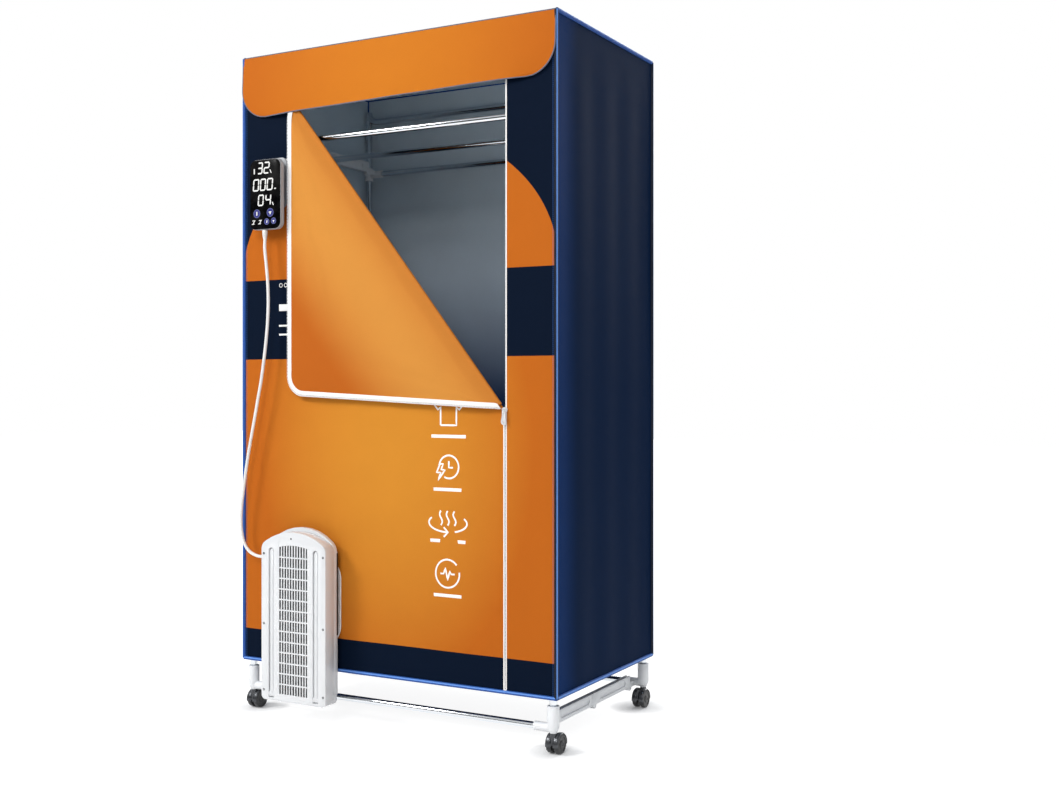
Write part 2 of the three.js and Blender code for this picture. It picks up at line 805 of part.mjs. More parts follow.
const portOutline = (grow, corner) =>
  roundedRectangle(
    hostX - portWidth / 2 - grow,
    hostX + portWidth / 2 + grow,
    portZ - portHeight / 2 - grow,
    portZ + portHeight / 2 + grow,
    corner,
  );
const windowOutline = (grow, corner) =>
  roundedRectangle(
    windowLeft - grow,
    windowRight + grow,
    windowBottom - grow,
    windowTop + grow,
    corner,
  );

// The printed front: one sheet with the zip slit, the open corner of the door, the air port and the window.
function coverFront() {
  const panel = block([-halfWidth, halfWidth], [0, cloth], [hemHeight, coverTop]);
  const opening = new THREE.Shape();
  opening.moveTo(foldTop.x, foldTop.y);
  opening.lineTo(foldBottom.x, foldBottom.y);
  opening.lineTo(stripLeft, foldBottom.y);
  opening.lineTo(stripLeft, foldTop.y);
  return cut(
    panel,
    facing(opening, through),
    block([slitLeft, stripLeft], through, [hemHeight - 1, zipSliderZ + 1]),
    facing(portOutline(0, portCorner), through, 4),
    facing(windowOutline(0, windowCorner), through, 3),
  );
}

add("cover_front", coverFront(), "print");

const panelBack = rearY - cloth;
add("cover_back", block([-halfWidth, halfWidth], [panelBack, rearY], [hemHeight, coverTop]), "navyCloth");

// A side: one sheet that is creased in shallow pleats, so that it gathers when the frame folds.
function coverSide(sign) {
  const y0 = cloth + seat;
  const y1 = panelBack - seat;
  const creases = [];
  const count = pleatCount * 2;
  for (let crease = 0; crease <= count; crease++) {
    const depth = crease % 2 ? pleatDepth : 0;
    creases.push({ y: y0 + ((y1 - y0) * crease) / count, depth });
  }
  const outline = new THREE.Shape();
  creases.forEach(({ y, depth }, index) => {
    const x = sign * (halfWidth - depth);
    if (index === 0) outline.moveTo(x, y);
    else outline.lineTo(x, y);
  });
  for (const { y, depth } of creases.reverse()) {
    outline.lineTo(sign * (halfWidth - depth - cloth), y);
  }
  return extrude(outline, coverHeight, 1).translate(0, 0, hemHeight);
}

for (const side of sides) add(`cover_${side.name}`, coverSide(side.sign), "navyCloth");

// The roof and the floor cloth hang between the front and the back.
const clothSpan = [cloth + seat, panelBack - seat];
const roofHalf = halfWidth - cloth - pleatDepth - seat;
add("cover_roof", block([-roofHalf, roofHalf], clothSpan, [coverTop - cloth, coverTop]), "navyCloth");
const floorHalf = halfWidth - floorClothInset;
const floorZ = hemHeight + floorClothRise;
add("cover_floor", block([-floorHalf, floorHalf], clothSpan, [floorZ, floorZ + cloth]), "navyCloth");

// The valance stands away from the front, less so at its ends, and its two lower corners are round.
function valance() {
  const bottom = coverTop - valanceHeight;
  return sheet(14, 6, (across, up) => {
    const z = bottom + valanceHeight * up * (0.35 + 0.65 * up);
    const inCorner = Math.max(0, valanceCorner - (z - bottom));
    const drawIn = valanceCorner - Math.sqrt(valanceCorner ** 2 - inCorner ** 2);
    const half = halfWidth - drawIn;
    const level = (z - bottom) / valanceHeight;
    const hug = 1 - valanceHug * (2 * across - 1) ** 8;
    const y = -seat - valanceFlare * hug * (1 - level ** 2);
    return { back: new THREE.Vector3(-half + 2 * half * across, y, z), thickness: cloth };
  });
}

add("valance", valance(), "valanceCloth");

const smooth = (t) => {
  const clamped = Math.min(Math.max(t, 0), 1);
  return clamped * clamped * (3 - 2 * clamped);
};

// The free edge of the flap: down the left side, round the corner and along the bottom to the zip.
function flapEdge(v) {
  const radius = flapCornerRadius;
  const left = flapLeftX;
  const sideLength = foldTop.y - flapCornerZ - radius;
  const arcLength = (Math.PI / 2) * radius;
  const bottomLength = foldBottom.x - left - radius;
  const along = v * (sideLength + arcLength + bottomLength);
  if (along < sideLength) return new THREE.Vector2(left, foldTop.y - along);
  if (along < sideLength + arcLength) {
    const angle = Math.PI + (along - sideLength) / radius;
    const x = left + radius + radius * Math.cos(angle);
    return new THREE.Vector2(x, flapCornerZ + radius + radius * Math.sin(angle));
  }
  const share = (along - sideLength - arcLength) / bottomLength;
  const drop = flapCornerZ - foldBottom.y;
  return new THREE.Vector2(left + radius + bottomLength * share, flapCornerZ - drop * share);
}

// The unzipped corner of the door, folded down over a soft roll along the diagonal.
function doorFlap() {
  const trim = 0.012;
  return sheet(9, 16, (across, along) => {
    const v = trim + (1 - 2 * trim) * along;
    const u = across ** 1.7;
    const fold = foldTop.clone().lerp(foldBottom, v);
    const place = fold.clone().lerp(flapEdge(v), u);
    const distance = place.distanceTo(fold);
    const lift = smooth(distance / (4 * flapFoldRoll));
    const belly = flapBelly * Math.sin(Math.PI * u) * Math.sin(Math.PI * v);
    const y = -seat - flapStandOff * lift - belly;
    const thickness = cloth + (flapFoldRoll - cloth / 2) * (1 - lift);
    return { back: new THREE.Vector3(place.x, y, place.y), thickness };
  });
}

add("door_flap", doorFlap(), "valanceCloth");

add(
  "port_frame",
  cut(
    facing(portOutline(portRim, portCorner + portRim), [-seat - rimThickness, -seat], 4),
    facing(portOutline(0, portCorner), through, 4),
  ),
  "whiteTape",
);
add(
  "window_frame",
  cut(
    facing(windowOutline(windowRim, windowCorner + windowRim), [-seat - rimThickness, -seat], 3),
    facing(windowOutline(0, windowCorner), through, 3),
  ),
  "whiteTape",
);

// ---------------------------------------------------------------- zip

const tapeFront = cloth / 2 - tapeThickness / 2;
const tapeBack = tapeFront + tapeThickness;

// Two rows of teeth with the slider's channel between them, joined at the bottom stop. The left row ends at the
// slider, where the door leaves it.
function zipChain() {
  const left = zipX - zipChannel / 2;
  const right = zipX + zipChannel / 2;
  const ys = [tapeFront, tapeBack];
  return join(
    block([left - tapeWidth, left], ys, [hemHeight, zipSliderZ]),
    block([right, right + tapeWidth], ys, [hemHeight, zipTop]),
    block([left - 0.1, right + 0.1], ys, [hemHeight, hemHeight + bottomStop]),
  );
}

add("zip_chain", zipChain(), "whiteTape");

const sliderTop = zipSliderZ;
const sliderMiddle = sliderTop - sliderHeight / 2;
const sliderFront = tapeFront - seat - sliderPlate;
const pullPivotY = sliderFront - loopRadius + loopSink;

// The slider: a plate on each side of the teeth, a web in their channel and a loop for the pull.
function zipSlider() {
  const half = sliderWidth / 2;
  const span = [zipX - half, zipX + half];
  const zs = [sliderTop - sliderHeight, sliderTop];
  const web = [zipX - sliderWeb / 2, zipX + sliderWeb / 2];
  const loop = [zipX - loopWidth / 2, zipX + loopWidth / 2];
  const pivot = [0, pullPivotY, sliderMiddle];
  const body = join(
    block(span, [sliderFront, sliderFront + sliderPlate], zs),
    block(span, [tapeBack + seat, tapeBack + seat + sliderPlate], zs),
    block(web, [sliderFront, tapeBack + seat + 1], zs),
    bar("x", loopRadius, loop, pivot, 12),
  );
  return cut(body, drill("x", pullPinRadius + pivotPlay, span, pivot, 8));
}

add("zip_slider", zipSlider(), "zincSlider");

// The pull: a tab with a slot round the slider's loop and a pin through it.
function zipPull() {
  const half = pullWidth / 2;
  const tip = sliderMiddle - pullLength;
  const top = sliderMiddle + pullHead;
  const outline = roundedRectangle(zipX - half, zipX + half, tip, top, 1.5);
  const slotHalf = loopWidth / 2 + seat;
  const gripHole = roundedRectangle(zipX - half / 2, zipX + half / 2, tip + 4, tip + 12, half / 2 - 0.1);
  const back = pullPivotY + pullThickness / 2;
  const front = back - pullThickness;
  const slot = block(
    [zipX - slotHalf, zipX + slotHalf],
    [front - 1, back + 1],
    [sliderMiddle - loopRadius - 4 * seat, top + 1],
  );
  const body = cut(facing(outline, [front, back], 3), facing(gripHole, [front - 1, back + 1], 3), slot);
  const pinHalf = half - 0.4;
  return join(body, bar("x", pullPinRadius, [zipX - pinHalf, zipX + pinHalf], [0, pullPivotY, sliderMiddle], 8));
}

add("zip_pull", zipPull(), "zincSlider");

// ---------------------------------------------------------------- blower host

// The upright outline with an arched top, drawn about the host's middle line.
function hostOutline(half, bottom, shoulder, apex, corner) {
  const rise = apex - shoulder;
  const arcRadius = (half * half + rise * rise) / (2 * rise);
  const centre = apex - arcRadius;
  const reach = half - corner;
  const start = Math.acos(reach / arcRadius);
  const shape = new THREE.Shape();
  shape.moveTo(hostX - half + corner, bottom);
  shape.lineTo(hostX + half - corner, bottom);
  shape.absarc(hostX + half - corner, bottom + corner, corner, -Math.PI / 2, 0);
  shape.lineTo(hostX + half, shoulder - corner);
  const archEnd = centre + arcRadius * Math.sin(start);
  shape.quadraticCurveTo(hostX + half, shoulder, hostX + reach, archEnd);
  shape.absarc(hostX, centre, arcRadius, start, Math.PI - start);
  shape.quadraticCurveTo(hostX - half, shoulder, hostX - half, shoulder - corner);
  shape.lineTo(hostX - half, bottom + corner);
  shape.absarc(hostX - half + corner, bottom + corner, corner, Math.PI, 1.5 * Math.PI);
  return shape;
}

const bay = (ys) => block([hostX - bayHalfWidth, hostX + bayHalfWidth], ys, [bayBottom, bayTop]);
const faceY = -hostFront;
const legPivotY = faceY + knuckleRadius;

const grilleRowPitch = (grilleTop - grilleBottom + grilleBar) / grilleRows;
const grilleColumnPitch = grilleWidth / grilleColumns;

// The openings of the grille, one for each row. The top row ends in a shallow arch.
function grilleOpenings() {
  const half = (grilleWidth - grilleColumnPitch + slotWidth) / 2;
  const depth = [faceY - 1, faceY + hostWall + 1];
  const openings = [];
  for (let row = 0; row < grilleRows; row++) {
    const bottom = grilleBottom + row * grilleRowPitch;
    const top = bottom + grilleRowPitch - grilleBar;
    const outline = new THREE.Shape();
    outline.moveTo(hostX - half, bottom);
    outline.lineTo(hostX + half, bottom);
    outline.lineTo(hostX + half, top);
    if (row === grilleRows - 1) outline.quadraticCurveTo(hostX, top + 2 * grilleArch, hostX - half, top);
    else outline.lineTo(hostX - half, top);
    openings.push(facing(outline, depth));
  }
  return openings;
}

// The upright ribs stand behind the face, so that the level bars show in front of them.
function grilleRibs() {
  const half = (grilleColumnPitch - slotWidth) / 2;
  const ribs = [];
  for (let rib = 1; rib < grilleColumns; rib++) {
    const x = hostX + (rib - grilleColumns / 2) * grilleColumnPitch;
    const zs = [grilleBottom - 1, grilleTop + grilleArch + 1];
    ribs.push(block([x - half, x + half], [faceY + grilleRibSink, faceY + hostWall], zs));
  }
  return ribs;
}

// The groove and the round pocket that a stand leg folds into.
function legRecess(offset) {
  const x = hostX + offset;
  const span = [x - legGroove / 2, x + legGroove / 2];
  const depth = [faceY - 1, faceY + legDepth + 1.5];
  const holeSpan = [x - legGroove / 2 - legPinReach, x + legGroove / 2 + legPinReach];
  const pivot = [0, legPivotY, legPivotZ];
  const mouth = block(span, [faceY - 1, legPivotY], [legPivotZ - knuckleRadius - 0.5, legPivotZ]);
  return [
    block(span, depth, [legPivotZ, legTop - legGroove / 2]),
    bar("y", legGroove / 2, depth, [x, 0, legTop - legGroove / 2], 12),
    drill("x", knuckleRadius + 0.5, span, pivot),
    mouth,
    drill("x", legPinRadius + pivotPlay, holeSpan, pivot, 12),
  ];
}

function hostFrontCover() {
  const outline = hostOutline(hostHalf, hostBottom, hostShoulder, hostApex, hostCorner);
  const shell = cut(
    facing(outline, [faceY, hostSplitY - seat], 4),
    bay([faceY + hostWall, 0]),
    ...grilleOpenings(),
    ...legRecess(-legOffset),
    ...legRecess(legOffset),
  );
  return join(shell, ...grilleRibs());
}

add("host_front_cover", hostFrontCover(), "glossWhite");

// A hook over the base rail, seen from the side.
function hook(offset) {
  const x = hostX + offset;
  const top = baseRailHeight + railRadius + seat + hookWall;
  const behind = frontPostY + railRadius + seat;
  const outline = new THREE.Shape();
  outline.moveTo(plinthY - 1, top);
  outline.lineTo(plinthY - 1, top - hookWall);
  outline.lineTo(behind, top - hookWall);
  outline.lineTo(behind, top - hookWall - hookDrop);
  outline.lineTo(behind + hookWall, top - hookWall - hookDrop);
  outline.lineTo(behind + hookWall, top);
  return sideways(outline, [x - hookWidth / 2, x + hookWidth / 2]);
}

const spigotOutline = (shrink) => portOutline(-spigotPlay - shrink, portCorner - spigotPlay - shrink);

// The rear shell: flange, plinth, motor spider, spigot, rail hooks and the gland of the cord.
function hostRearShell() {
  const flange = hostOutline(hostHalf, hostBottom, hostShoulder, hostApex + flangeRise, hostCorner);
  const plinth = hostOutline(
    hostHalf - plinthInset,
    hostBottom + plinthInset,
    hostShoulder - plinthInset,
    hostApex - plinthInset,
    hostCorner,
  );
  const flangeBack = hostSplitY + hostFlangeDepth;
  const body = join(
    facing(flange, [hostSplitY, flangeBack], 4),
    facing(plinth, [flangeBack - 1, plinthY], 4),
    facing(spigotOutline(0), [plinthY - 1, spigotReach], 4),
    hook(-hookOffset),
    hook(hookOffset),
    bar("x", glandRadius, [hostX - hostHalf - glandLength, hostX - hostHalf + 1], [0, glandY, cordExitZ], 12),
  );
  const hollow = cut(
    body,
    bay([hostSplitY - 1, plinthY - spiderWall]),
    facing(spigotOutline(spigotWall), [plinthY, spigotReach + 1], 4),
    drill("y", fanRadius, [plinthY - spiderWall - 1, plinthY + 1], [hostX, 0, portZ], 24),
  );
  const spider = [bar("y", motorRadius + motorSeat, [plinthY - spiderWall, plinthY], [hostX, 0, portZ], 16)];
  for (let arm = 0; arm < 3; arm++) {
    const plate = new THREE.BoxGeometry(fanRadius + 4, spiderWall, spiderArm);
    plate.translate((fanRadius + 4) / 2, 0, 0);
    plate.rotateY((arm * 2 * Math.PI) / 3 + Math.PI / 6);
    spider.push(plate.translate(hostX, plinthY - spiderWall / 2, portZ));
  }
  return join(hollow, ...spider);
}

add("host_rear_shell", hostRearShell(), "glossWhite");

// A stand leg: a half-round bar with a domed nose and a knuckle whose pin turns in the front cover.
function standLeg(offset) {
  const x = hostX + offset;
  const half = legWidth / 2;
  const knuckleHalf = legGroove / 2 - sideGap;
  const nose = legTop - legGroove / 2;
  const crownY = faceY + half;
  const section = new THREE.Shape();
  section.moveTo(x - half, faceY + legDepth);
  section.lineTo(x + half, faceY + legDepth);
  section.absarc(x, crownY, half, 0, Math.PI, true);
  const pinHalf = legGroove / 2 + legPinReach - seat;
  const pivot = [0, legPivotY, legPivotZ];
  const ball = new THREE.SphereGeometry(half, 12, 6).applyMatrix4(AXES.z).translate(x, crownY, nose);
  const behind = block([x - legWidth, x + legWidth], [faceY + legDepth, faceY + 2 * legWidth], [0, hostApex]);
  return join(
    extrude(section, nose - legPivotZ, 6).translate(0, 0, legPivotZ),
    cut(ball, behind),
    bar("x", knuckleRadius, [x - knuckleHalf, x + knuckleHalf], pivot),
    bar("x", legPinRadius, [x - pinHalf, x + pinHalf], pivot, 12),
  );
}

for (const side of sides) add(`stand_leg_${side.name}`, standLeg(side.sign * legOffset), "glossWhite");

const motorBack = plinthY - spiderWall - seat;
const motorFront = motorBack - motorLength;
const rotorBack = motorBack - hubWall;
const rotorFront = rotorBack - fanDepth;
const fanAxis = [hostX, 0, portZ];

add(
  "fan_motor",
  join(
    bar("y", motorRadius, [motorFront, motorBack], fanAxis, 16),
    bar("y", shaftRadius, [rotorFront + 1, motorFront + 1], fanAxis, 12),
  ),
  "blackPlastic",
);

// One blade: a thin arched section, drawn out from the hub and set at its pitch.
function blade(index) {
  const chord = fanDepth * 0.8;
  const arch = 3;
  const section = new THREE.Shape();
  section.moveTo(-chord / 2, 0);
  section.quadraticCurveTo(0, 2 * arch, chord / 2, 0);
  section.lineTo(chord / 2, bladeThickness);
  section.quadraticCurveTo(0, 2 * arch + bladeThickness, -chord / 2, bladeThickness);
  const length = fanRadius - fanPlay - hubRadius + 1;
  const geometry = extrude(section, length, 3);
  geometry.rotateZ(THREE.MathUtils.degToRad(bladePitch));
  geometry.translate(0, 0, hubRadius - 1);
  geometry.rotateY((index * 2 * Math.PI) / bladeCount);
  return geometry.translate(hostX, (rotorFront + rotorBack) / 2, portZ);
}

function fanRotor() {
  const hub = cut(
    bar("y", hubRadius, [rotorFront, rotorBack], fanAxis, 16),
    drill("y", motorRadius + hubPlay, [rotorFront + hubWall, rotorBack + 1], fanAxis, 16),
    drill("y", shaftRadius + pivotPlay, [rotorFront + 1 - seat, rotorBack], fanAxis, 12),
  );
  const blades = [];
  for (let index = 0; index < bladeCount; index++) blades.push(blade(index));
  return join(hub, ...blades);
}

add("fan_rotor", fanRotor(), "blackPlastic");

// The heater: a frame in the spigot with two rows of upright air gaps between its fins.
function heaterCore() {
  const fit = spigotWall + seat;
  const y0 = plinthY + seat;
  const y1 = y0 + heaterDepth;
  const gaps = [];
  const innerWidth = portWidth - 2 * (spigotPlay + fit + heaterFrame);
  const innerHeight = portHeight - 2 * (spigotPlay + fit + heaterFrame);
  const pitch = innerWidth / heaterFins;
  const crossBar = 5;
  for (let fin = 0; fin < heaterFins; fin++) {
    const x = hostX + (fin - (heaterFins - 1) / 2) * pitch;
    for (const sign of [-1, 1]) {
      const near = portZ + (sign * crossBar) / 2;
      const far = portZ + (sign * innerHeight) / 2;
      const zs = sign > 0 ? [near, far] : [far, near];
      gaps.push(block([x - heaterFinGap / 2, x + heaterFinGap / 2], [y0 - 1, y1 + 1], zs));
    }
  }
  return cut(facing(spigotOutline(fit), [y0, y1], 4), ...gaps);
}

add("heater_core", heaterCore(), "aluminiumFins");

// ---------------------------------------------------------------- controller

const controllerOutline = (shrink) =>
  roundedRectangle(
    controllerX - controllerWidth / 2 + shrink,
    controllerX + controllerWidth / 2 - shrink,
    controllerZ - controllerHeight / 2 + shrink,
    controllerZ + controllerHeight / 2 - shrink,
    controllerCorner - shrink,
  );
const glassBackY = -controllerFront + glassThickness;

add("controller_case", facing(controllerOutline(0), [glassBackY + seat, controllerBackY], 4), "greyPlastic");
add("controller_glass", facing(controllerOutline(glassInset), [-controllerFront, glassBackY], 4), "blackGlass");

// The cradle: a plate behind the controller, a base on the cover and a hook through the window.
function controllerCradle() {
  const outline = roundedRectangle(cradleLeft, cradleRight, cradleBottom, cradleTop, cradleCorner);
  const neck = roundedRectangle(
    cradleLeft + 8,
    cradleRight - 8,
    cradleBottom + 8,
    cradleTop - 8,
    cradleCorner - 6,
  );
  const restY = -2 * seat - rimThickness;
  const middle = (cradleLeft + cradleRight) / 2;
  const hookSpan = [middle - cradleHookWidth / 2, middle + cradleHookWidth / 2];
  const hookBack = cloth + seat + cradleBase;
  const stepZ = [windowBottom + seat, windowBottom + seat + cradleBase];
  return join(
    facing(outline, [restY - cradleBase, restY], 4),
    facing(neck, [controllerBackY + seat, restY - cradleBase + 0.5], 4),
    block(hookSpan, [restY - 1, hookBack], stepZ),
    block(hookSpan, [cloth + seat, hookBack], [windowBottom - cradleHookDrop, stepZ[1]]),
  );
}

add("controller_cradle", controllerCradle(), "greyPlastic");

// ---------------------------------------------------------------- cord

const reliefY = (glassBackY + controllerBackY) / 2;
const reliefTop = controllerZ - controllerHeight / 2 - seat;
const reliefBottom = reliefTop - reliefLength;

// The strain relief: a tapered sleeve with two ribs.
function strainRelief() {
  const end = cordDiameter / 2 + 0.6;
  const ribbed = [
    [0, 0],
    [end, 0],
    [end + 0.4, reliefLength * 0.3],
    [end + 1.4, reliefLength * 0.34],
    [end + 0.8, reliefLength * 0.42],
    [end + 1.8, reliefLength * 0.6],
    [end + 1.2, reliefLength * 0.66],
    [reliefTopRadius, reliefLength],
    [0, reliefLength],
  ];
  const profile = ribbed.map(([radius, height]) => new THREE.Vector2(radius, height));
  const geometry = new THREE.LatheGeometry(profile, 12);
  return geometry.rotateX(Math.PI / 2).translate(reliefX, reliefY, reliefBottom);
}

add("strain_relief", strainRelief(), "cordWhite");

// The cord's route: down from the controller, out to the left and back into the host's left side. The points of
// the run are given from the cover's left side, and those of the last bend by their height over the gland.
const cordRun = [
  [84.5, -28.5, 1040],
  [89, -28.5, 1001],
  [93.5, -29, 962],
  [95, -29, 922],
  [93.5, -29, 880],
  [89, -29, 834],
  [82.5, -29, 790],
  [75, -29, 746],
  [65, -29, 701],
  [55, -29, 656],
  [45.5, -28.5, 617],
  [37, -28.5, 578],
  [29, -28, 538],
  [22, -27.5, 499],
  [16.5, -27, 464],
];
const cordBend = [
  [14, -26.5, 79],
  [16, -26, 50],
  [23.5, -25.5, 26],
  [38, -25, 9.5],
  [57, -25, 1.8],
  [75, -25, 0],
];
const cordRoute = [
  [reliefX, reliefY, reliefBottom - seat],
  ...cordRun.map(([inset, y, z]) => [-halfWidth + inset, y, z]),
  ...cordBend.map(([inset, y, rise]) => [-halfWidth + inset, y, cordExitZ + rise]),
  [hostX - hostHalf - glandLength - seat, glandY, cordExitZ],
].map(([x, y, z]) => new THREE.Vector3(x, y, z));

function cord() {
  const section = new THREE.Shape().absarc(0, 0, cordDiameter / 2, 0, 2 * Math.PI);
  const path = new THREE.CatmullRomCurve3(cordRoute, false, "centripetal");
  return new THREE.ExtrudeGeometry(section, { steps: 36, extrudePath: path, curveSegments: 4 });
}

add("cord", cord(), "cordWhite");

export default cabinet;
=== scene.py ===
"""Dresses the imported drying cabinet: cover, zip, tube frame, casters, blower host, controller, cord."""
import json
import logging
import math
from collections.abc import Callable, Iterable, Sequence
from dataclasses import dataclass
from enum import Enum

import bpy
from mathutils import Matrix, Vector
from mathutils.bvhtree import BVHTree

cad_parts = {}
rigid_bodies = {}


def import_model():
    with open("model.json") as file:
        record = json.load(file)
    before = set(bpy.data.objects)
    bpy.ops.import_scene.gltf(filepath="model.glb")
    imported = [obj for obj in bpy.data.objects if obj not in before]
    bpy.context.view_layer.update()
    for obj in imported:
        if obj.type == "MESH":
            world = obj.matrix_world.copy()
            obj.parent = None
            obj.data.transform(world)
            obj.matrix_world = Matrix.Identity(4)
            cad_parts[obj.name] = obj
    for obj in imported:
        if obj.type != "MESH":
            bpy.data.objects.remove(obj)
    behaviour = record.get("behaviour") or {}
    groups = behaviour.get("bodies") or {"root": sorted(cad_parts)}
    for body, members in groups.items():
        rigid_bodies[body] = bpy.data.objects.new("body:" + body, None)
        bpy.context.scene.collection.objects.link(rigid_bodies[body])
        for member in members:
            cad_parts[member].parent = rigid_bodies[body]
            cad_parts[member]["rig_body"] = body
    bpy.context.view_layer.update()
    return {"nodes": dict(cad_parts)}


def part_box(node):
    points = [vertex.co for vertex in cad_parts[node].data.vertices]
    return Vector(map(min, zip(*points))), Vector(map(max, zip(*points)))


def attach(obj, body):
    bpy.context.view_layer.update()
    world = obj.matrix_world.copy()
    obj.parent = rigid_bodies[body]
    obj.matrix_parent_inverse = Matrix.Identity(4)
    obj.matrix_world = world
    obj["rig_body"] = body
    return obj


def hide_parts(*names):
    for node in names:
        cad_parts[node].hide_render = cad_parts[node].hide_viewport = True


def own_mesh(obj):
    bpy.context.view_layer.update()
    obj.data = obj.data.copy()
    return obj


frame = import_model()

LOG = logging.getLogger("drying_cabinet")

Point = tuple[float, float, float]
Pair = tuple[float, float]
Socket = bpy.types.NodeSocket
Feed = Socket | float | Point


# ------------------------------------------------------------------ shared sizes


@dataclass(frozen=True)
class Layout:
    """Sizes in metres that several pieces share. Z is up from the floor and the front faces -Y."""

    half_width: float = 0.400
    front: float = -0.2075
    rear: float = 0.2675
    hem: float = 0.115
    top: float = 1.475
    cloth: float = 0.0014
    zip_x: float = 0.2835
    slider_z: float = 0.688
    zip_top: float = 1.373
    slit_left: float = 0.2794
    strip_left: float = 0.2876
    fold_left: float = -0.268
    post_x: float = 0.385
    front_post_y: float = -0.1915
    rear_post_y: float = 0.2515
    host_x: float = -0.210
    port_z: float = 0.263
    port_half: Pair = (0.074, 0.085)
    port_corner: float = 0.034
    window_low: Pair = (-0.346, 1.182)
    window_high: Pair = (-0.236, 1.232)
    window_corner: float = 0.014
    folded_share: float = 0.355


SIZES = Layout()
FRONTWARD = (0.0, -1.0, 0.0)


def srgb(red: int, green: int, blue: int) -> tuple[float, float, float, float]:
    """Turn a 0 to 255 screen colour into a linear one."""
    linear = [((c / 255 + 0.055) / 1.055) ** 2.4 if c > 10 else c / 255 / 12.92 for c in (red, green, blue)]
    return (linear[0], linear[1], linear[2], 1.0)


def smooth_step(value: float) -> float:
    """Ease a value from 0 to 1, flat at both ends."""
    held = min(max(value, 0.0), 1.0)
    return held * held * (3 - 2 * held)


# ------------------------------------------------------------------ node wiring


class Wiring:
    """Adds and links the nodes of one node tree."""

    def __init__(self, tree: bpy.types.NodeTree) -> None:
        """Start on a node tree."""
        self.tree = tree

    def node(self, kind: str, **settings: object) -> bpy.types.Node:
        """Add a node.

        Args:
            kind: The node's type name.
            **settings: Attributes to set on it.

        Returns:
            The new node.
        """
        made = self.tree.nodes.new(kind)
        for key, value in settings.items():
            setattr(made, key, value)
        return made

    def feed(self, socket: Socket, value: Feed) -> None:
        """Link a socket, or set its value.

        Args:
            socket: The input.
            value: An output socket or a plain value.
        """
        if isinstance(value, bpy.types.NodeSocket):
            self.tree.links.new(value, socket)
        else:
            socket.default_value = value

    def math(self, operation: str, *values: Feed, clamp: bool = False) -> Socket:
        """Add a Math node.

        Args:
            operation: The Math operation.
            *values: Its inputs.
            clamp: Whether the result is held to 0 to 1.

        Returns:
            The result.
        """
        made = self.node("ShaderNodeMath", operation=operation, use_clamp=clamp)
        for socket, value in zip(made.inputs, values):
            self.feed(socket, value)
        return made.outputs[0]

    def sum(self, *values: Feed) -> Socket:
        """Add up any number of values and return the total."""
        total = values[0]
        for value in values[1:]:
            total = self.math("ADD", total, value)
        return total

    def above(self, value: Feed, edge: Feed, softness: float) -> Socket:
        """Make a mask that is 1 where a value is above an edge."""
        return self.math(
            "ADD", self.math("DIVIDE", self.math("SUBTRACT", value, edge), softness), 0.5, clamp=True
        )

    def mix(self, share: Feed, low: Feed, high: Feed, mode: str = "MIX") -> Socket:
        """Mix two colours.

        Args:
            share: The share of the second colour.
            low: The first colour.
            high: The second colour.
            mode: The blend type.

        Returns:
            The mixed colour.
        """
        made = self.node("ShaderNodeMix", data_type="RGBA", blend_type=mode)
        self.feed(made.inputs[0], share)
        self.feed(made.inputs[6], low)
        self.feed(made.inputs[7], high)
        return made.outputs[2]

    def noise(self, vector: Socket, scale: float, detail: float = 3.0, roughness: float = 0.55) -> Socket:
        """Add a noise texture and return its value from 0 to 1.

        Args:
            vector: Where it is read.
            scale: Its scale.
            detail: Its octaves.
            roughness: How strong the finer octaves are.

        Returns:
            The noise.
        """
        made = self.node("ShaderNodeTexNoise")
        self.feed(made.inputs["Vector"], vector)
        made.inputs["Scale"].default_value = scale
        made.inputs["Detail"].default_value = detail
        made.inputs["Roughness"].default_value = roughness
        return made.outputs["Fac"]

    def axes(self, vector: Socket) -> tuple[Socket, Socket, Socket]:
        """Split a vector into its three parts."""
        made = self.node("ShaderNodeSeparateXYZ")
        self.feed(made.inputs[0], vector)
        return made.outputs[0], made.outputs[1], made.outputs[2]

    def vector(self, x: Feed, y: Feed, z: Feed) -> Socket:
        """Join three values into a vector."""
        made = self.node("ShaderNodeCombineXYZ")
        for socket, value in zip(made.inputs, (x, y, z)):
            self.feed(socket, value)
        return made.outputs[0]

    def group(self, tree: bpy.types.NodeTree, **values: Feed) -> bpy.types.Node:
        """Place a shared group.

        Args:
            tree: The group's tree.
            **values: Its inputs, with _ for a space in a name.

        Returns:
            The group node.
        """
        made = self.node("ShaderNodeGroup", node_tree=tree)
        for name, value in values.items():
            self.feed(made.inputs[name.replace("_", " ")], value)
        return made


def new_group(
    name: str, inputs: dict[str, tuple[str, object]], outputs: dict[str, str]
) -> tuple[Wiring, dict, dict]:
    """Start a shader node group with named sockets.

    Args:
        name: The group's name.
        inputs: Each input's socket type and first value, by name.
        outputs: Each output's socket type, by name.

    Returns:
        The wiring, the input sockets inside the group, and the output sockets inside it.
    """
    tree = bpy.data.node_groups.new(name, "ShaderNodeTree")
    for label, (kind, value) in inputs.items():
        socket = tree.interface.new_socket(name=label, in_out="INPUT", socket_type=kind)
        if value is not None:
            socket.default_value = value
    for label, kind in outputs.items():
        tree.interface.new_socket(name=label, in_out="OUTPUT", socket_type=kind)
    wiring = Wiring(tree)
    start = wiring.node("NodeGroupInput")
    end = wiring.node("NodeGroupOutput")
    return wiring, {s.name: s for s in start.outputs}, {s.name: s for s in end.inputs}


FLOAT = "NodeSocketFloat"
VECTOR = "NodeSocketVector"
COLOUR = "NodeSocketColor"


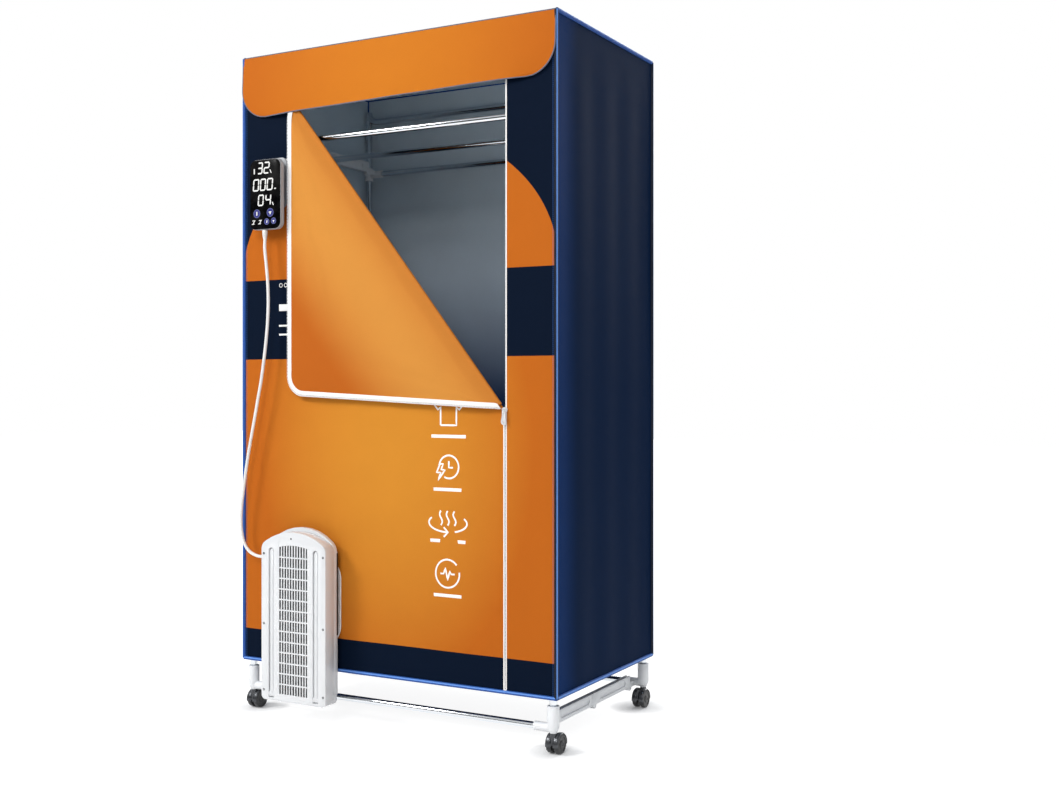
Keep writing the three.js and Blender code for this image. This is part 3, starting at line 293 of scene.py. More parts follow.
class Effects:
    """The shared effects: weave, creases, grain and stitching, each built once."""

    def __init__(self) -> None:
        """Build every group."""
        self.weave = self._weave()
        self.creases = self._creases()
        self.grain = self._grain()
        self.stitches = self._stitches()

    @staticmethod
    def _weave() -> bpy.types.NodeTree:
        """Build a plain weave of warp and weft read in the plane of X and Y.

        Returns:
            The group, with Height and Shade outputs.
        """
        w, given, out = new_group(
            "PlainWeave",
            {"Vector": (VECTOR, None), "Threads per metre": (FLOAT, 1100.0), "Unevenness": (FLOAT, 0.3)},
            {"Height": FLOAT, "Shade": FLOAT},
        )
        x, y, _ = w.axes(given["Vector"])
        u = w.math("MULTIPLY", x, given["Threads per metre"])
        v = w.math("MULTIPLY", y, given["Threads per metre"])
        parity = w.math(
            "MODULO", w.math("ABSOLUTE", w.math("ADD", w.math("FLOOR", u), w.math("FLOOR", v))), 2.0
        )
        warp = w.math("ABSOLUTE", w.math("SINE", w.math("MULTIPLY", u, math.pi)))
        weft = w.math("ABSOLUTE", w.math("SINE", w.math("MULTIPLY", v, math.pi)))
        over = w.math("MULTIPLY", warp, parity)
        under = w.math("MULTIPLY", weft, w.math("SUBTRACT", 1.0, parity))
        slub = w.noise(w.vector(w.math("MULTIPLY", u, 0.02), w.math("MULTIPLY", v, 0.4), 0.0), 3.0, 2.0)
        uneven = w.math("MULTIPLY", w.math("SUBTRACT", slub, 0.5), given["Unevenness"])
        height = w.sum(over, under, uneven)
        w.feed(out["Height"], height)
        w.feed(out["Shade"], w.math("MULTIPLY_ADD", height, 0.12, 0.92))
        return w.tree

    @staticmethod
    def _creases() -> bpy.types.NodeTree:
        """Build the soft creases of cloth that has been folded and hung.

        Returns:
            The group, with Height and Tone outputs; Tone is painted shade that follows the fine creases.
        """
        w, given, out = new_group(
            "SoftCreases",
            {"Vector": (VECTOR, None), "Amount": (FLOAT, 1.0)},
            {"Height": FLOAT, "Tone": FLOAT},
        )
        broad = w.noise(given["Vector"], 3.2, 2.0, 0.45)
        fine = w.noise(given["Vector"], 17.0, 3.0, 0.5)
        ridge = w.math("ABSOLUTE", w.math("SUBTRACT", broad, 0.5))
        height = w.sum(w.math("MULTIPLY", ridge, 1.4), w.math("MULTIPLY", fine, 0.22))
        w.feed(out["Height"], w.math("MULTIPLY", height, given["Amount"]))
        # Tone lightens the cloth where the fine creases rise and darkens it where they sink: painted shade
        # in the creases.
        tone = w.math("MULTIPLY", w.math("SUBTRACT", fine, 0.5), given["Amount"])
        w.feed(out["Tone"], w.math("MULTIPLY_ADD", tone, 0.10, 1.0))
        return w.tree

    @staticmethod
    def _grain() -> bpy.types.NodeTree:
        """Build the handling marks and moulding grain of plastic and metal.

        Returns:
            The group, with Colour, Roughness and Height outputs.
        """
        w, given, out = new_group(
            "HandledGrain",
            {
                "Vector": (VECTOR, None),
                "Colour": (COLOUR, None),
                "Roughness": (FLOAT, 0.4),
                "Fineness": (FLOAT, 900.0),
                "Marks": (FLOAT, 0.3),
            },
            {"Colour": COLOUR, "Roughness": FLOAT, "Height": FLOAT},
        )
        smudge = w.noise(given["Vector"], 14.0, 4.0, 0.6)
        speck = w.node("ShaderNodeTexNoise")
        w.feed(speck.inputs["Vector"], given["Vector"])
        w.feed(speck.inputs["Scale"], given["Fineness"])
        speck.inputs["Detail"].default_value = 1.0
        centred = w.math("MULTIPLY", w.math("SUBTRACT", smudge, 0.5), given["Marks"])
        dulled = w.mix(w.math("ABSOLUTE", centred), given["Colour"], (0.30, 0.29, 0.27, 1.0))
        w.feed(out["Colour"], dulled)
        w.feed(out["Roughness"], w.math("MULTIPLY_ADD", centred, 0.5, given["Roughness"]))
        w.feed(out["Height"], speck.outputs["Fac"])
        return w.tree

    @staticmethod
    def _stitches() -> bpy.types.NodeTree:
        """Build a run of stitches along X, centred on a line of constant Y.

        Returns:
            The group, with Mask and Height outputs.
        """
        w, given, out = new_group(
            "StitchRun",
            {
                "Along": (FLOAT, 0.0),
                "Across": (FLOAT, 0.0),
                "Pitch": (FLOAT, 0.004),
                "Width": (FLOAT, 0.0008),
            },
            {"Mask": FLOAT, "Height": FLOAT},
        )
        phase = w.math("FRACT", w.math("DIVIDE", given["Along"], given["Pitch"]))
        dash = w.above(0.36, w.math("ABSOLUTE", w.math("SUBTRACT", phase, 0.5)), 0.08)
        off = w.math("DIVIDE", w.math("ABSOLUTE", given["Across"]), given["Width"])
        line = w.above(1.0, off, 0.4)
        mask = w.math("MULTIPLY", dash, line)
        w.feed(out["Mask"], mask)
        w.feed(out["Height"], w.math("SUBTRACT", w.math("MULTIPLY", mask, 1.6), line))
        return w.tree


class Plane(Enum):
    """The plane in which a cloth's pattern lies."""

    FRONT = "XZ"
    SIDE = "YZ"
    LEVEL = "XY"
    OWN = "UV"


class Ground:
    """The start of one material: its wiring, its Principled shader and its coordinates."""

    def __init__(self, name: str, effects: Effects) -> None:
        """Make an empty material with a Principled shader.

        Args:
            name: The material's name.
            effects: The shared node groups.
        """
        self.material = bpy.data.materials.new(name)
        self.material.use_nodes = True
        self.effects = effects
        self.w = Wiring(self.material.node_tree)
        self.shader = self.material.node_tree.nodes["Principled BSDF"]
        self.place = self.w.node("ShaderNodeTexCoord").outputs["Object"]

    def flat(self, plane: Plane) -> Socket:
        """Read the place in a plane.

        Args:
            plane: The plane of the pattern.

        Returns:
            A vector whose X and Y lie in that plane, in metres.
        """
        if plane is Plane.OWN:
            return self.w.node("ShaderNodeUVMap", uv_map="run").outputs[0]
        x, y, z = self.w.axes(self.place)
        parts = {"X": x, "Y": y, "Z": z}
        return self.w.vector(parts[plane.value[0]], parts[plane.value[1]], 0.0)

    def inward(self) -> Socket:
        """Make a mask that is 1 on the faces that look into the cabinet."""
        away = self.w.node("ShaderNodeVectorMath", operation="SUBTRACT")
        self.w.feed(away.inputs[0], self.place)
        away.inputs[1].default_value = (0.0, 0.0, 0.75)
        facing = self.w.node("ShaderNodeVectorMath", operation="DOT_PRODUCT")
        self.w.feed(facing.inputs[0], away.outputs[0])
        self.w.feed(facing.inputs[1], self.w.node("ShaderNodeTexCoord").outputs["Normal"])
        return self.w.above(0.0, facing.outputs["Value"], 0.02)

    def set(self, **values: Feed) -> None:
        """Set or link sockets of the shader."""
        for name, value in values.items():
            self.w.feed(self.shader.inputs[name.replace("_", " ")], value)

    def relief(self, *layers: tuple[Socket, float]) -> None:
        """Feed the normal from bump layers.

        Args:
            *layers: Each layer's height and its depth in metres.
        """
        normal = None
        for height, depth in layers:
            bump = self.w.node("ShaderNodeBump")
            bump.inputs["Strength"].default_value = 1.0
            bump.inputs["Distance"].default_value = depth
            self.w.feed(bump.inputs["Height"], height)
            if normal is not None:
                self.w.feed(bump.inputs["Normal"], normal)
            normal = bump.outputs[0]
        self.set(Normal=normal)


# ------------------------------------------------------------------ finishes


@dataclass(frozen=True)
class PaintedHighlight:
    """A painted highlight: a lighter band that runs across a cloth's pattern."""

    colour: tuple[int, int, int]
    angle: float = 0.0
    middle: float = 0.0
    reach: float = 0.4


@dataclass(frozen=True)
class PlainCloth:
    """Woven polyester in one colour, with a painted highlight band where asked, and where asked a coated
    inner side painted darker towards the bottom and lighter towards the top (painted shade and light).
    """

    name: str
    colour: tuple[int, int, int]
    plane: Plane
    # glow is a painted highlight band, lighter than the cloth's own colour
    glow: PaintedHighlight | None = None
    creases: float = 1.0
    lining: tuple[tuple[int, int, int], tuple[int, int, int]] | None = None
    lining_shade_middle: float = 0.95
    specular: float = 0.05

    def build(self, effects: Effects) -> bpy.types.Material:
        """Build the material.

        Args:
            effects: The shared node groups.

        Returns:
            The material.
        """
        ground = Ground(self.name, effects)
        w = ground.w
        flat = ground.flat(self.plane)
        weave = w.group(effects.weave, Vector=flat)
        crease = w.group(effects.creases, Vector=ground.place, Amount=self.creases)
        # The crease tone is painted shade in the creases.
        tone = w.math("MULTIPLY", crease.outputs["Tone"], weave.outputs["Shade"])
        colour: Feed = srgb(*self.colour)
        # Painted highlight: the colour lightens towards the middle of the band.
        if self.glow:
            first, second, _ = w.axes(flat)
            turn = math.radians(self.glow.angle)
            run = w.math("MULTIPLY_ADD", second, math.sin(turn), w.math("MULTIPLY", first, math.cos(turn)))
            off = w.math("DIVIDE", w.math("SUBTRACT", run, self.glow.middle), self.glow.reach)
            share = w.math("SUBTRACT", 1.0, w.math("MULTIPLY", off, off), clamp=True)
            colour = w.mix(w.math("POWER", share, 1.5), colour, srgb(*self.glow.colour))
        # The inner side takes the coating's colour, painted darker towards the bottom and lighter towards
        # the top: painted shade and light.
        if self.lining:
            low, high = self.lining
            rise = w.above(w.axes(ground.place)[2], self.lining_shade_middle, 0.5)
            colour = w.mix(ground.inward(), colour, w.mix(rise, srgb(*low), srgb(*high)))
        shaded = w.mix(1.0, colour, w.vector(tone, tone, tone), "MULTIPLY")
        ground.set(Base_Color=shaded, Roughness=0.7, Specular_IOR_Level=self.specular)
        ground.relief((crease.outputs["Height"], 0.0016), (weave.outputs["Height"], 0.00006))
        return ground.material


@dataclass(frozen=True)
class PrintedFront:
    """The front's print: an orange arch and field on navy, crossed by a navy band; the orange is painted
    lighter towards the middle, a painted pool of light.
    """

    name: str = "printed_front"
    ground: tuple[int, int, int] = (4, 17, 36)
    edge_orange: tuple[int, int, int] = (179, 94, 25)
    lit_middle_orange: tuple[int, int, int] = (199, 130, 43)
    middle: Pair = (0.0, 0.60)
    reach: Pair = (0.348, 0.50)
    side_edge: float = 0.395
    field_low: float = 0.184
    field_high: float = 0.792
    arch_low: float = 0.970
    arch_half: float = 0.405
    arch_rise: float = 0.306

    def build(self, effects: Effects) -> bpy.types.Material:
        """Build the material.

        Args:
            effects: The shared node groups.

        Returns:
            The material.
        """
        ground = Ground(self.name, effects)
        w = ground.w
        x, _, z = w.axes(ground.place)
        side = w.math("ABSOLUTE", x)
        inside = w.above(self.side_edge, side, 0.0008)
        field = w.math("MULTIPLY", w.above(z, self.field_low, 0.0008), w.above(self.field_high, z, 0.0008))
        ex = w.math("DIVIDE", x, self.arch_half)
        ez = w.math("DIVIDE", w.math("SUBTRACT", z, self.arch_low), self.arch_rise)
        radius = w.math("ADD", w.math("MULTIPLY", ex, ex), w.math("MULTIPLY", ez, ez))
        arch = w.math("MULTIPLY", w.above(1.0, radius, 0.005), w.above(z, self.arch_low, 0.0008))
        orange = w.math("MULTIPLY", inside, w.math("MAXIMUM", field, arch))
        # Painted pool of light: the orange goes from its edge colour to a lighter colour towards the middle.
        far = [
            w.math("DIVIDE", w.math("SUBTRACT", value, start), reach)
            for value, start, reach in zip((x, z), self.middle, self.reach)
        ]
        far = [w.math("MULTIPLY", part, part) for part in far]
        near = w.math("SUBTRACT", 1.0, w.math("ADD", *far), clamp=True)
        painted_light_orange = w.mix(near, srgb(*self.edge_orange), srgb(*self.lit_middle_orange))
        printed = w.mix(orange, srgb(*self.ground), painted_light_orange)
        weave = w.group(effects.weave, Vector=ground.flat(Plane.FRONT))
        crease = w.group(effects.creases, Vector=ground.place, Amount=0.7)
        # The crease tone is painted shade in the creases.
        tone = w.math("MULTIPLY", weave.outputs["Shade"], crease.outputs["Tone"])
        shaded = w.mix(1.0, printed, w.vector(tone, tone, tone), "MULTIPLY")
        stitch = w.group(effects.stitches, Along=z, Across=w.math("SUBTRACT", side, 0.3925))
        shaded = w.mix(w.math("MULTIPLY", stitch.outputs["Mask"], 0.5), shaded, srgb(60, 96, 160))
        ground.set(Base_Color=shaded, Roughness=0.7, Specular_IOR_Level=0.05)
        ground.relief(
            (crease.outputs["Height"], 0.0012),
            (stitch.outputs["Height"], 0.0002),
            (weave.outputs["Height"], 0.00006),
        )
        return ground.material


@dataclass(frozen=True)
class Tape:
    """Woven tape, bias binding or piping, ribbed along its own run."""

    name: str
    colour: tuple[int, int, int]
    stitch: tuple[int, int, int] | None = None
    stitch_line: float = 0.0
    ribs: float = 900.0

    def build(self, effects: Effects) -> bpy.types.Material:
        """Build the material.

        Args:
            effects: The shared node groups.

        Returns:
            The material.
        """
        ground = Ground(self.name, effects)
        w = ground.w
        along, across, _ = w.axes(ground.flat(Plane.OWN))
        rib = w.math("ABSOLUTE", w.math("SINE", w.math("MULTIPLY", along, self.ribs * math.pi)))
        shade = w.math("MULTIPLY_ADD", rib, 0.10, 0.90)
        colour = w.mix(1.0, srgb(*self.colour), w.vector(shade, shade, shade), "MULTIPLY")
        layers = [(rib, 0.00008)]
        if self.stitch:
            off = w.math("SUBTRACT", across, self.stitch_line)
            stitch = w.group(effects.stitches, Along=along, Across=off)
            colour = w.mix(stitch.outputs["Mask"], colour, srgb(*self.stitch))
            layers.append((stitch.outputs["Height"], 0.00025))
        ground.set(Base_Color=colour, Roughness=0.55, Specular_IOR_Level=0.3)
        ground.relief(*layers)
        return ground.material


@dataclass(frozen=True)
class Moulded:
    """Moulded plastic with a fine grain and light handling marks."""

    name: str
    colour: tuple[int, int, int]
    roughness: float
    fineness: float = 900.0
    grain_depth: float = 0.00004
    marks: float = 0.25
    coat: float = 0.0
    metallic: float = 0.0
    specular: float = 0.5

    def build(self, effects: Effects) -> bpy.types.Material:
        """Build the material.

        Args:
            effects: The shared node groups.

        Returns:
            The material.
        """
        ground = Ground(self.name, effects)
        grain = ground.w.group(
            effects.grain,
            Vector=ground.place,
            Colour=srgb(*self.colour),
            Roughness=self.roughness,
            Fineness=self.fineness,
            Marks=self.marks,
        )
        ground.set(
            Base_Color=grain.outputs["Colour"],
            Roughness=grain.outputs["Roughness"],
            Metallic=self.metallic,
            Coat_Weight=self.coat,
            Coat_Roughness=0.08,
            Specular_IOR_Level=self.specular,
        )
        ground.relief((grain.outputs["Height"], self.grain_depth))
        return ground.material


@dataclass(frozen=True)
class Light:
    """A lit segment or pictogram of the display."""

    name: str
    colour: tuple[int, int, int]
    strength: float = 1.0

    def build(self, effects: Effects) -> bpy.types.Material:
        """Build the material.

        Args:
            effects: The shared node groups.

        Returns:
            The material.
        """
        ground = Ground(self.name, effects)
        flicker = ground.w.noise(ground.place, 300.0, 1.0)
        level = ground.w.math("MULTIPLY_ADD", flicker, 0.1, 0.92)
        colour = ground.w.mix(1.0, srgb(*self.colour), ground.w.vector(level, level, level), "MULTIPLY")
        ground.set(
            Base_Color=(0.02, 0.02, 0.02, 1.0), Emission_Color=colour, Emission_Strength=self.strength
        )
        ground.set(Roughness=0.3)
        return ground.material


# The coating's colours low and high in the cabinet; the change with height is painted shade and light.
SHADED_LINING = ((36, 60, 100), (212, 226, 236))


class Finish(Enum):
    """Every finish of the cabinet."""

    PRINT = PrintedFront()
    # The valance is painted lighter towards the middle of its width: a painted highlight.
    ORANGE = PlainCloth("orange_valance", (179, 94, 25), Plane.FRONT, PaintedHighlight((191, 111, 30)), 0.5)
    # The flap carries a painted highlight: a lighter band beside and parallel to its fold.
    FLAP = PlainCloth(
        "orange_flap", (176, 91, 27), Plane.FRONT, PaintedHighlight((199, 133, 58), 38.6, 0.545, 0.175), 0.6
    )
    # The sides carry a painted highlight near the front edge, and their inner faces the painted shade of the
    # lining.
    NAVY_SIDE = PlainCloth(
        "navy_side", (4, 28, 59), Plane.SIDE, PaintedHighlight((12, 46, 97), 0.0, -0.2075, 0.10), 1.0, SHADED_LINING
    )
    NAVY_BACK = PlainCloth("navy_back", (15, 33, 65), Plane.FRONT, None, 1.0, SHADED_LINING)
    NAVY_LEVEL = PlainCloth("navy_level", (13, 30, 60), Plane.LEVEL, None, 1.0, SHADED_LINING)
    PIPING = Tape("blue_piping", (98, 146, 222), ribs=500.0)
    # Beside the light piping runs a dark blue strip that stands in for the piping's shade: painted shade;
    # the navy copy is darker still, for the right uprights.
    PIPING_SHADE = Tape("blue_piping_shade", (36, 82, 160), ribs=500.0)
    SEAM = Tape("navy_piping_deep_shade", (5, 17, 38), ribs=500.0)
    VALANCE_EDGE = Tape("grey_piping", (99, 101, 116), ribs=500.0)
    BINDING = Tape("white_binding", (238, 238, 236), stitch=(196, 198, 200), stitch_line=0.002)
    ZIP_TAPE = Tape("zip_tape", (240, 236, 232), stitch=(200, 202, 205), stitch_line=0.004, ribs=700.0)
    TEETH = Moulded("zip_teeth", (238, 239, 240), 0.35, marks=0.1)
    CHROME = Moulded("plated_tube", (222, 226, 230), 0.14, 500.0, 0.000004, 0.12, metallic=1.0)
    WHITE = Moulded("satin_white", (232, 234, 236), 0.42, 1100.0, 0.00004, 0.16)
    GLOSS_WHITE = Moulded("gloss_white", (216, 218, 220), 0.24, 700.0, 0.00001, 0.12, coat=0.4)
    DARK = Moulded("caster_dark", (66, 68, 72), 0.27, 900.0, 0.00002, 0.3, coat=0.2, metallic=0.6)
    TREAD = Moulded("caster_tread", (32, 33, 35), 0.42, 700.0, 0.00004, 0.5)
    BLACK = Moulded("black_plastic", (18, 19, 21), 0.45, 900.0, 0.00004, 0.3)
    # A black sheet behind the host's grille: painted shade in its slots.
    FILTER = Moulded("slot_shade_black", (12, 13, 15), 0.9, 1400.0, 0.0001, 0.3)
    FINS = Moulded("fin_aluminium", (188, 192, 196), 0.35, 600.0, 0.00001, 0.3, metallic=1.0)
    GREY = Moulded("satin_grey", (150, 152, 156), 0.34, 1100.0, 0.00003, 0.16)
    GLASS = Moulded("display_glass", (4, 4, 5), 0.10, 300.0, 0.0, 0.15, specular=0.10)
    SLIDER = Moulded("coated_zinc", (226, 228, 231), 0.28, 600.0, 0.00001, 0.2, metallic=0.4)
    CORD = Moulded("cord_sheath", (225, 225, 223), 0.42, 700.0, 0.00002, 0.16)
    INK = Moulded("print_ink", (240, 240, 238), 0.6, 900.0, 0.00002, 0.1)
    LIT_WHITE = Light("lit_white", (255, 255, 252))
    LIT_BLUE = Light("lit_blue", (28, 32, 132))
    LIT_RIM = Light("lit_rim", (112, 120, 176))


class Palette:
    """Builds each finish's material the first time it is asked for."""

    def __init__(self) -> None:
        """Start with the shared effects and no material."""
        self.effects = Effects()
        self.made: dict[Finish, bpy.types.Material] = {}

    def get(self, finish: Finish) -> bpy.types.Material:
        """Give a finish's material.

        Args:
            finish: The finish.

        Returns:
            Its material.
        """
        if finish not in self.made:
            self.made[finish] = finish.value.build(self.effects)
        return self.made[finish]


# ------------------------------------------------------------------ bench work


def clear_selection() -> None:
    """Deselect everything."""
    bpy.ops.object.select_all(action="DESELECT")


def pick(*objects: bpy.types.Object) -> None:
    """Select only these objects, the first of them active.

    Args:
        *objects: The objects.
    """
    clear_selection()
    for chosen in objects:
        chosen.select_set(True)
    bpy.context.view_layer.objects.active = objects[0]


def modify(piece: bpy.types.Object, kind: str, **settings: object) -> None:
    """Put a modifier on a piece and apply it.

    Args:
        piece: The mesh object.
        kind: The modifier's type.
        **settings: Its settings.
    """
    pick(piece)
    modifier = piece.modifiers.new(kind.title(), kind)
    for key, value in settings.items():
        setattr(modifier, key, value)
    bpy.ops.object.modifier_apply(modifier=modifier.name)


def soften(piece: bpy.types.Object, width: float, segments: int = 2, angle: float = 35.0) -> None:
    """Round a piece's edges.

    Args:
        piece: The mesh object.
        width: The bevel's width.
        segments: Its segments.
        angle: Only edges sharper than this are rounded, in degrees.
    """
    modify(
        piece,
        "BEVEL",
        width=width,
        segments=segments,
        limit_method="ANGLE",
        angle_limit=math.radians(angle),
        use_clamp_overlap=True,
    )


def combine(first: bpy.types.Object, *others: bpy.types.Object) -> bpy.types.Object:
    """Join objects into the first one.

    Args:
        first: The object that stays.
        *others: The objects that go into it.

    Returns:
        The joined object.
    """
    if others:
        pick(first, *others)
        bpy.ops.object.join()
    return first


def unite(piece: bpy.types.Object, tool: bpy.types.Object, operation: str) -> None:
    """Join or cut a piece with a tool, which is used up."""
    modify(piece, "BOOLEAN", object=tool, operation=operation, solver="EXACT")
    bpy.data.objects.remove(tool, do_unlink=True)


def edit_select(piece: bpy.types.Object, mode: str, wanted: Callable) -> None:
    """Enter edit mode with the elements that pass a test selected.

    Args:
        piece: The mesh object.
        mode: VERT, EDGE or FACE.
        wanted: The test on a vertex or polygon.
    """
    pick(piece)
    bpy.ops.object.mode_set(mode="EDIT")
    bpy.ops.mesh.select_mode(type=mode)
    bpy.ops.mesh.select_all(action="DESELECT")
    bpy.ops.object.mode_set(mode="OBJECT")
    elements = piece.data.polygons if mode == "FACE" else piece.data.vertices
    for element in elements:
        element.select = wanted(element)
    bpy.ops.object.mode_set(mode="EDIT")


def leave_edit() -> None:
    """Go back to object mode."""
    bpy.ops.object.mode_set(mode="OBJECT")


def clean_normals(piece: bpy.types.Object, distance: float = 0.00001) -> None:
    """Merge doubles and point the faces outwards.

    Args:
        piece: The mesh object.
        distance: How near two points are to be one.
    """
    pick(piece)
    bpy.ops.object.mode_set(mode="EDIT")
    bpy.ops.mesh.select_all(action="SELECT")
    bpy.ops.mesh.remove_doubles(threshold=distance)
    bpy.ops.mesh.normals_make_consistent(inside=False)
    leave_edit()


def box(low: Point, high: Point) -> bpy.types.Object:
    """Start a piece from a cube between two corners.

    Args:
        low: The lowest corner.
        high: The highest corner.

    Returns:
        The object, unturned and unscaled.
    """
    clear_selection()
    centre = [(a + b) / 2 for a, b in zip(low, high)]
    bpy.ops.mesh.primitive_cube_add(size=1, location=centre, scale=[b - a for a, b in zip(low, high)])
    bpy.ops.object.transform_apply(location=True, rotation=True, scale=True)
    return bpy.context.active_object


TURNS = {"X": (0.0, math.pi / 2, 0.0), "Y": (math.pi / 2, 0.0, 0.0), "Z": (0.0, 0.0, 0.0)}


def rod(
    axis: str, radius: float, span: Pair, centre: Point, sides: int = 32, taper: float = 1.0
) -> bpy.types.Object:
    """Start a piece from a cylinder or cone along an axis.

    Args:
        axis: X, Y or Z.
        radius: Its radius at the low end.
        span: From and to along the axis.
        centre: A point on the axis.
        sides: Its sides.
        taper: The radius at the high end as a share of that at the low end.

    Returns:
        The object, unturned and unscaled.
    """
    clear_selection()
    place = list(centre)
    place["XYZ".index(axis)] = (span[0] + span[1]) / 2
    bpy.ops.mesh.primitive_cone_add(
        vertices=sides,
        radius1=radius,
        radius2=radius * taper,
        depth=span[1] - span[0],
        location=place,
        rotation=TURNS[axis] if axis != "Y" else (-math.pi / 2, 0.0, 0.0),
    )
    bpy.ops.object.transform_apply(location=True, rotation=True, scale=True)
    return bpy.context.active_object


def rounded_outline(low: Pair, high: Pair, corner: float, steps: int = 8) -> list[Pair]:
    """Draw a rectangle with round corners.

    Args:
        low: Its lowest corner.
        high: Its highest corner.
        corner: The corner radius.
        steps: Points round each corner.

    Returns:
        The outline's points, counter-clockwise.
    """
    points = []
    centres = [
        (high[0] - corner, low[1] + corner, -90),
        (high[0] - corner, high[1] - corner, 0),
        (low[0] + corner, high[1] - corner, 90),
        (low[0] + corner, low[1] + corner, 180),
    ]
    for cx, cz, start in centres:
        for step in range(steps + 1):
            angle = math.radians(start + 90 * step / steps)
            points.append((cx + corner * math.cos(angle), cz + corner * math.sin(angle)))
    return points


def plate(outline: Sequence[Pair], front: float, back: float) -> bpy.types.Object:
    """Extrude an outline in X and Z between two planes of Y.

    Args:
        outline: Its points.
        front: Y of the front face.
        back: Y of the back face.

    Returns:
        The object.
    """
    mesh = bpy.data.meshes.new("plate")
    mesh.from_pydata([(x, front, z) for x, z in outline], [], [list(range(len(outline)))])
    made = bpy.data.objects.new("plate", mesh)
    bpy.context.scene.collection.objects.link(made)
    pick(made)
    bpy.ops.object.mode_set(mode="EDIT")
    bpy.ops.mesh.select_all(action="SELECT")
    bpy.ops.mesh.extrude_region_move(TRANSFORM_OT_translate={"value": (0, back - front, 0)})
    bpy.ops.mesh.select_all(action="SELECT")
    bpy.ops.mesh.normals_make_consistent(inside=False)
    leave_edit()
    return made


def cloth_grid(
    name: str, columns: int, rows: int, place: Callable[[float, float], Point], thickness: float
) -> bpy.types.Object:
    """Make a cloth from a function of two shares, with its run in metres as its UV map.

    Args:
        name: The piece's name.
        columns: Cells across.
        rows: Cells along.
        place: Gives the middle surface's point at two shares from 0 to 1.
        thickness: The cloth's thickness.

    Returns:
        The object.
    """
    points = [Vector(place(i / columns, j / rows)) for j in range(rows + 1) for i in range(columns + 1)]
    faces = []
    for j in range(rows):
        for i in range(columns):
            a = j * (columns + 1) + i
            faces.append((a, a + 1, a + columns + 2, a + columns + 1))
    mesh = bpy.data.meshes.new(name)
    mesh.from_pydata(points, [], faces)
    layer = mesh.uv_layers.new(name="run")
    for polygon in mesh.polygons:
        for loop in polygon.loop_indices:
            spot = mesh.vertices[mesh.loops[loop].vertex_index].co
            layer.data[loop].uv = (spot.x + spot.y, spot.z)
    made = bpy.data.objects.new(name, mesh)
    bpy.context.scene.collection.objects.link(made)
    modify(made, "SOLIDIFY", thickness=thickness, offset=0.0, use_even_offset=True)
    return made


def sweep(
    name: str,
    path: Sequence[Vector],
    profile: Sequence[Pair],
    normal: Point | None = None,
    closed: bool = False,
) -> bpy.types.Object:
    """Run a profile along a path, with the distance along and across as its UV map.

    Args:
        name: The piece's name.
        path: The path's points.
        profile: The profile's points, as (across, outwards) offsets.
        normal: The outward direction; None turns the profile as little as it can.
        closed: Whether the path closes on itself.

    Returns:
        The object.
    """
    count = len(path)
    along = [0.0]
    for a, b in zip(path, path[1:]):
        along.append(along[-1] + (b - a).length)
    out = Vector(normal) if normal else None
    last = Vector((0.0, 0.0, 1.0))
    points: list[Vector] = []
    for index, spot in enumerate(path):
        if closed:
            direction = path[(index + 1) % count] - path[index - 1]
        else:
            direction = path[min(index + 1, count - 1)] - path[max(index - 1, 0)]
        direction.normalize()
        if out is not None:
            up = (out - direction * out.dot(direction)).normalized()
        else:
            if abs(last.dot(direction)) > 0.95 and index == 0:
                last = Vector((0.0, 1.0, 0.0))
            up = (last - direction * last.dot(direction)).normalized()
            last = up
        side = direction.cross(up)
        points.extend(spot + side * a + up * b for a, b in profile)
    width = len(profile)
    faces = []
    rings = count if closed else count - 1
    for ring in range(rings):
        for k in range(width):
            a = ring * width + k
            b = ring * width + (k + 1) % width
            step = (ring + 1) % count * width
            faces.append((a, b, step + (k + 1) % width, step + k))
    if not closed:
        faces.append(tuple(range(width - 1, -1, -1)))
        faces.append(tuple(range((count - 1) * width, count * width)))
    mesh = bpy.data.meshes.new(name)
    mesh.from_pydata(points, [], faces)
    layer = mesh.uv_layers.new(name="run")
    for polygon in mesh.polygons:
        for loop in polygon.loop_indices:
            vertex = mesh.loops[loop].vertex_index
            layer.data[loop].uv = (along[vertex // width], profile[vertex % width][0])
    made = bpy.data.objects.new(name, mesh)
    bpy.context.scene.collection.objects.link(made)
    clean_normals(made)
    return made


def lathe(stations: Sequence[Pair], axis: str, centre: Point, steps: int) -> bpy.types.Object:
    """Turn a profile about an axis.

    Args:
        stations: The profile's points, as (along the axis, radius) pairs.
        axis: X or Z.
        centre: The point of the axis from which the stations are measured.
        steps: Steps of the full turn.

    Returns:
        The object.
    """
    index = "XYZ".index(axis)
    points = []
    for along, radius in ((stations[0][0], 0.0), *stations, (stations[-1][0], 0.0)):
        spot = Vector(centre)
        spot[index] += along
        spot[2 - index] += radius
        points.append(spot)
    mesh = bpy.data.meshes.new("lathe")
    mesh.from_pydata(points, [(k, k + 1) for k in range(len(points) - 1)], [])
    made = bpy.data.objects.new("lathe", mesh)
    bpy.context.scene.collection.objects.link(made)
    edit_select(made, "VERT", lambda vertex: True)
    unit = tuple(1.0 if k == index else 0.0 for k in range(3))
    bpy.ops.mesh.spin(steps=steps, angle=2 * math.pi, center=centre, axis=unit)
    leave_edit()
    clean_normals(made)
    return made


def circle(radius: float, sides: int) -> list[Pair]:
    """Draw a round profile."""
    return [
        (
            radius * math.cos(2 * math.pi * k / sides), radius * math.sin(2 * math.pi * k / sides)
        ) for k in range(sides)
    ]


def strip_profile(width: float, thickness: float) -> list[Pair]:
    """Draw a flat profile with soft edges, lying on its path and standing outwards.

    Args:
        width: Its width.
        thickness: Its thickness.

    Returns:
        The profile.
    """
    half = width / 2
    soft = min(thickness * 0.4, half * 0.3)
    return [
        (-half, 0.0),
        (half, 0.0),
        (half, thickness - soft),
        (half - soft, thickness),
        (-half + soft, thickness),
        (-half, thickness - soft),
    ]


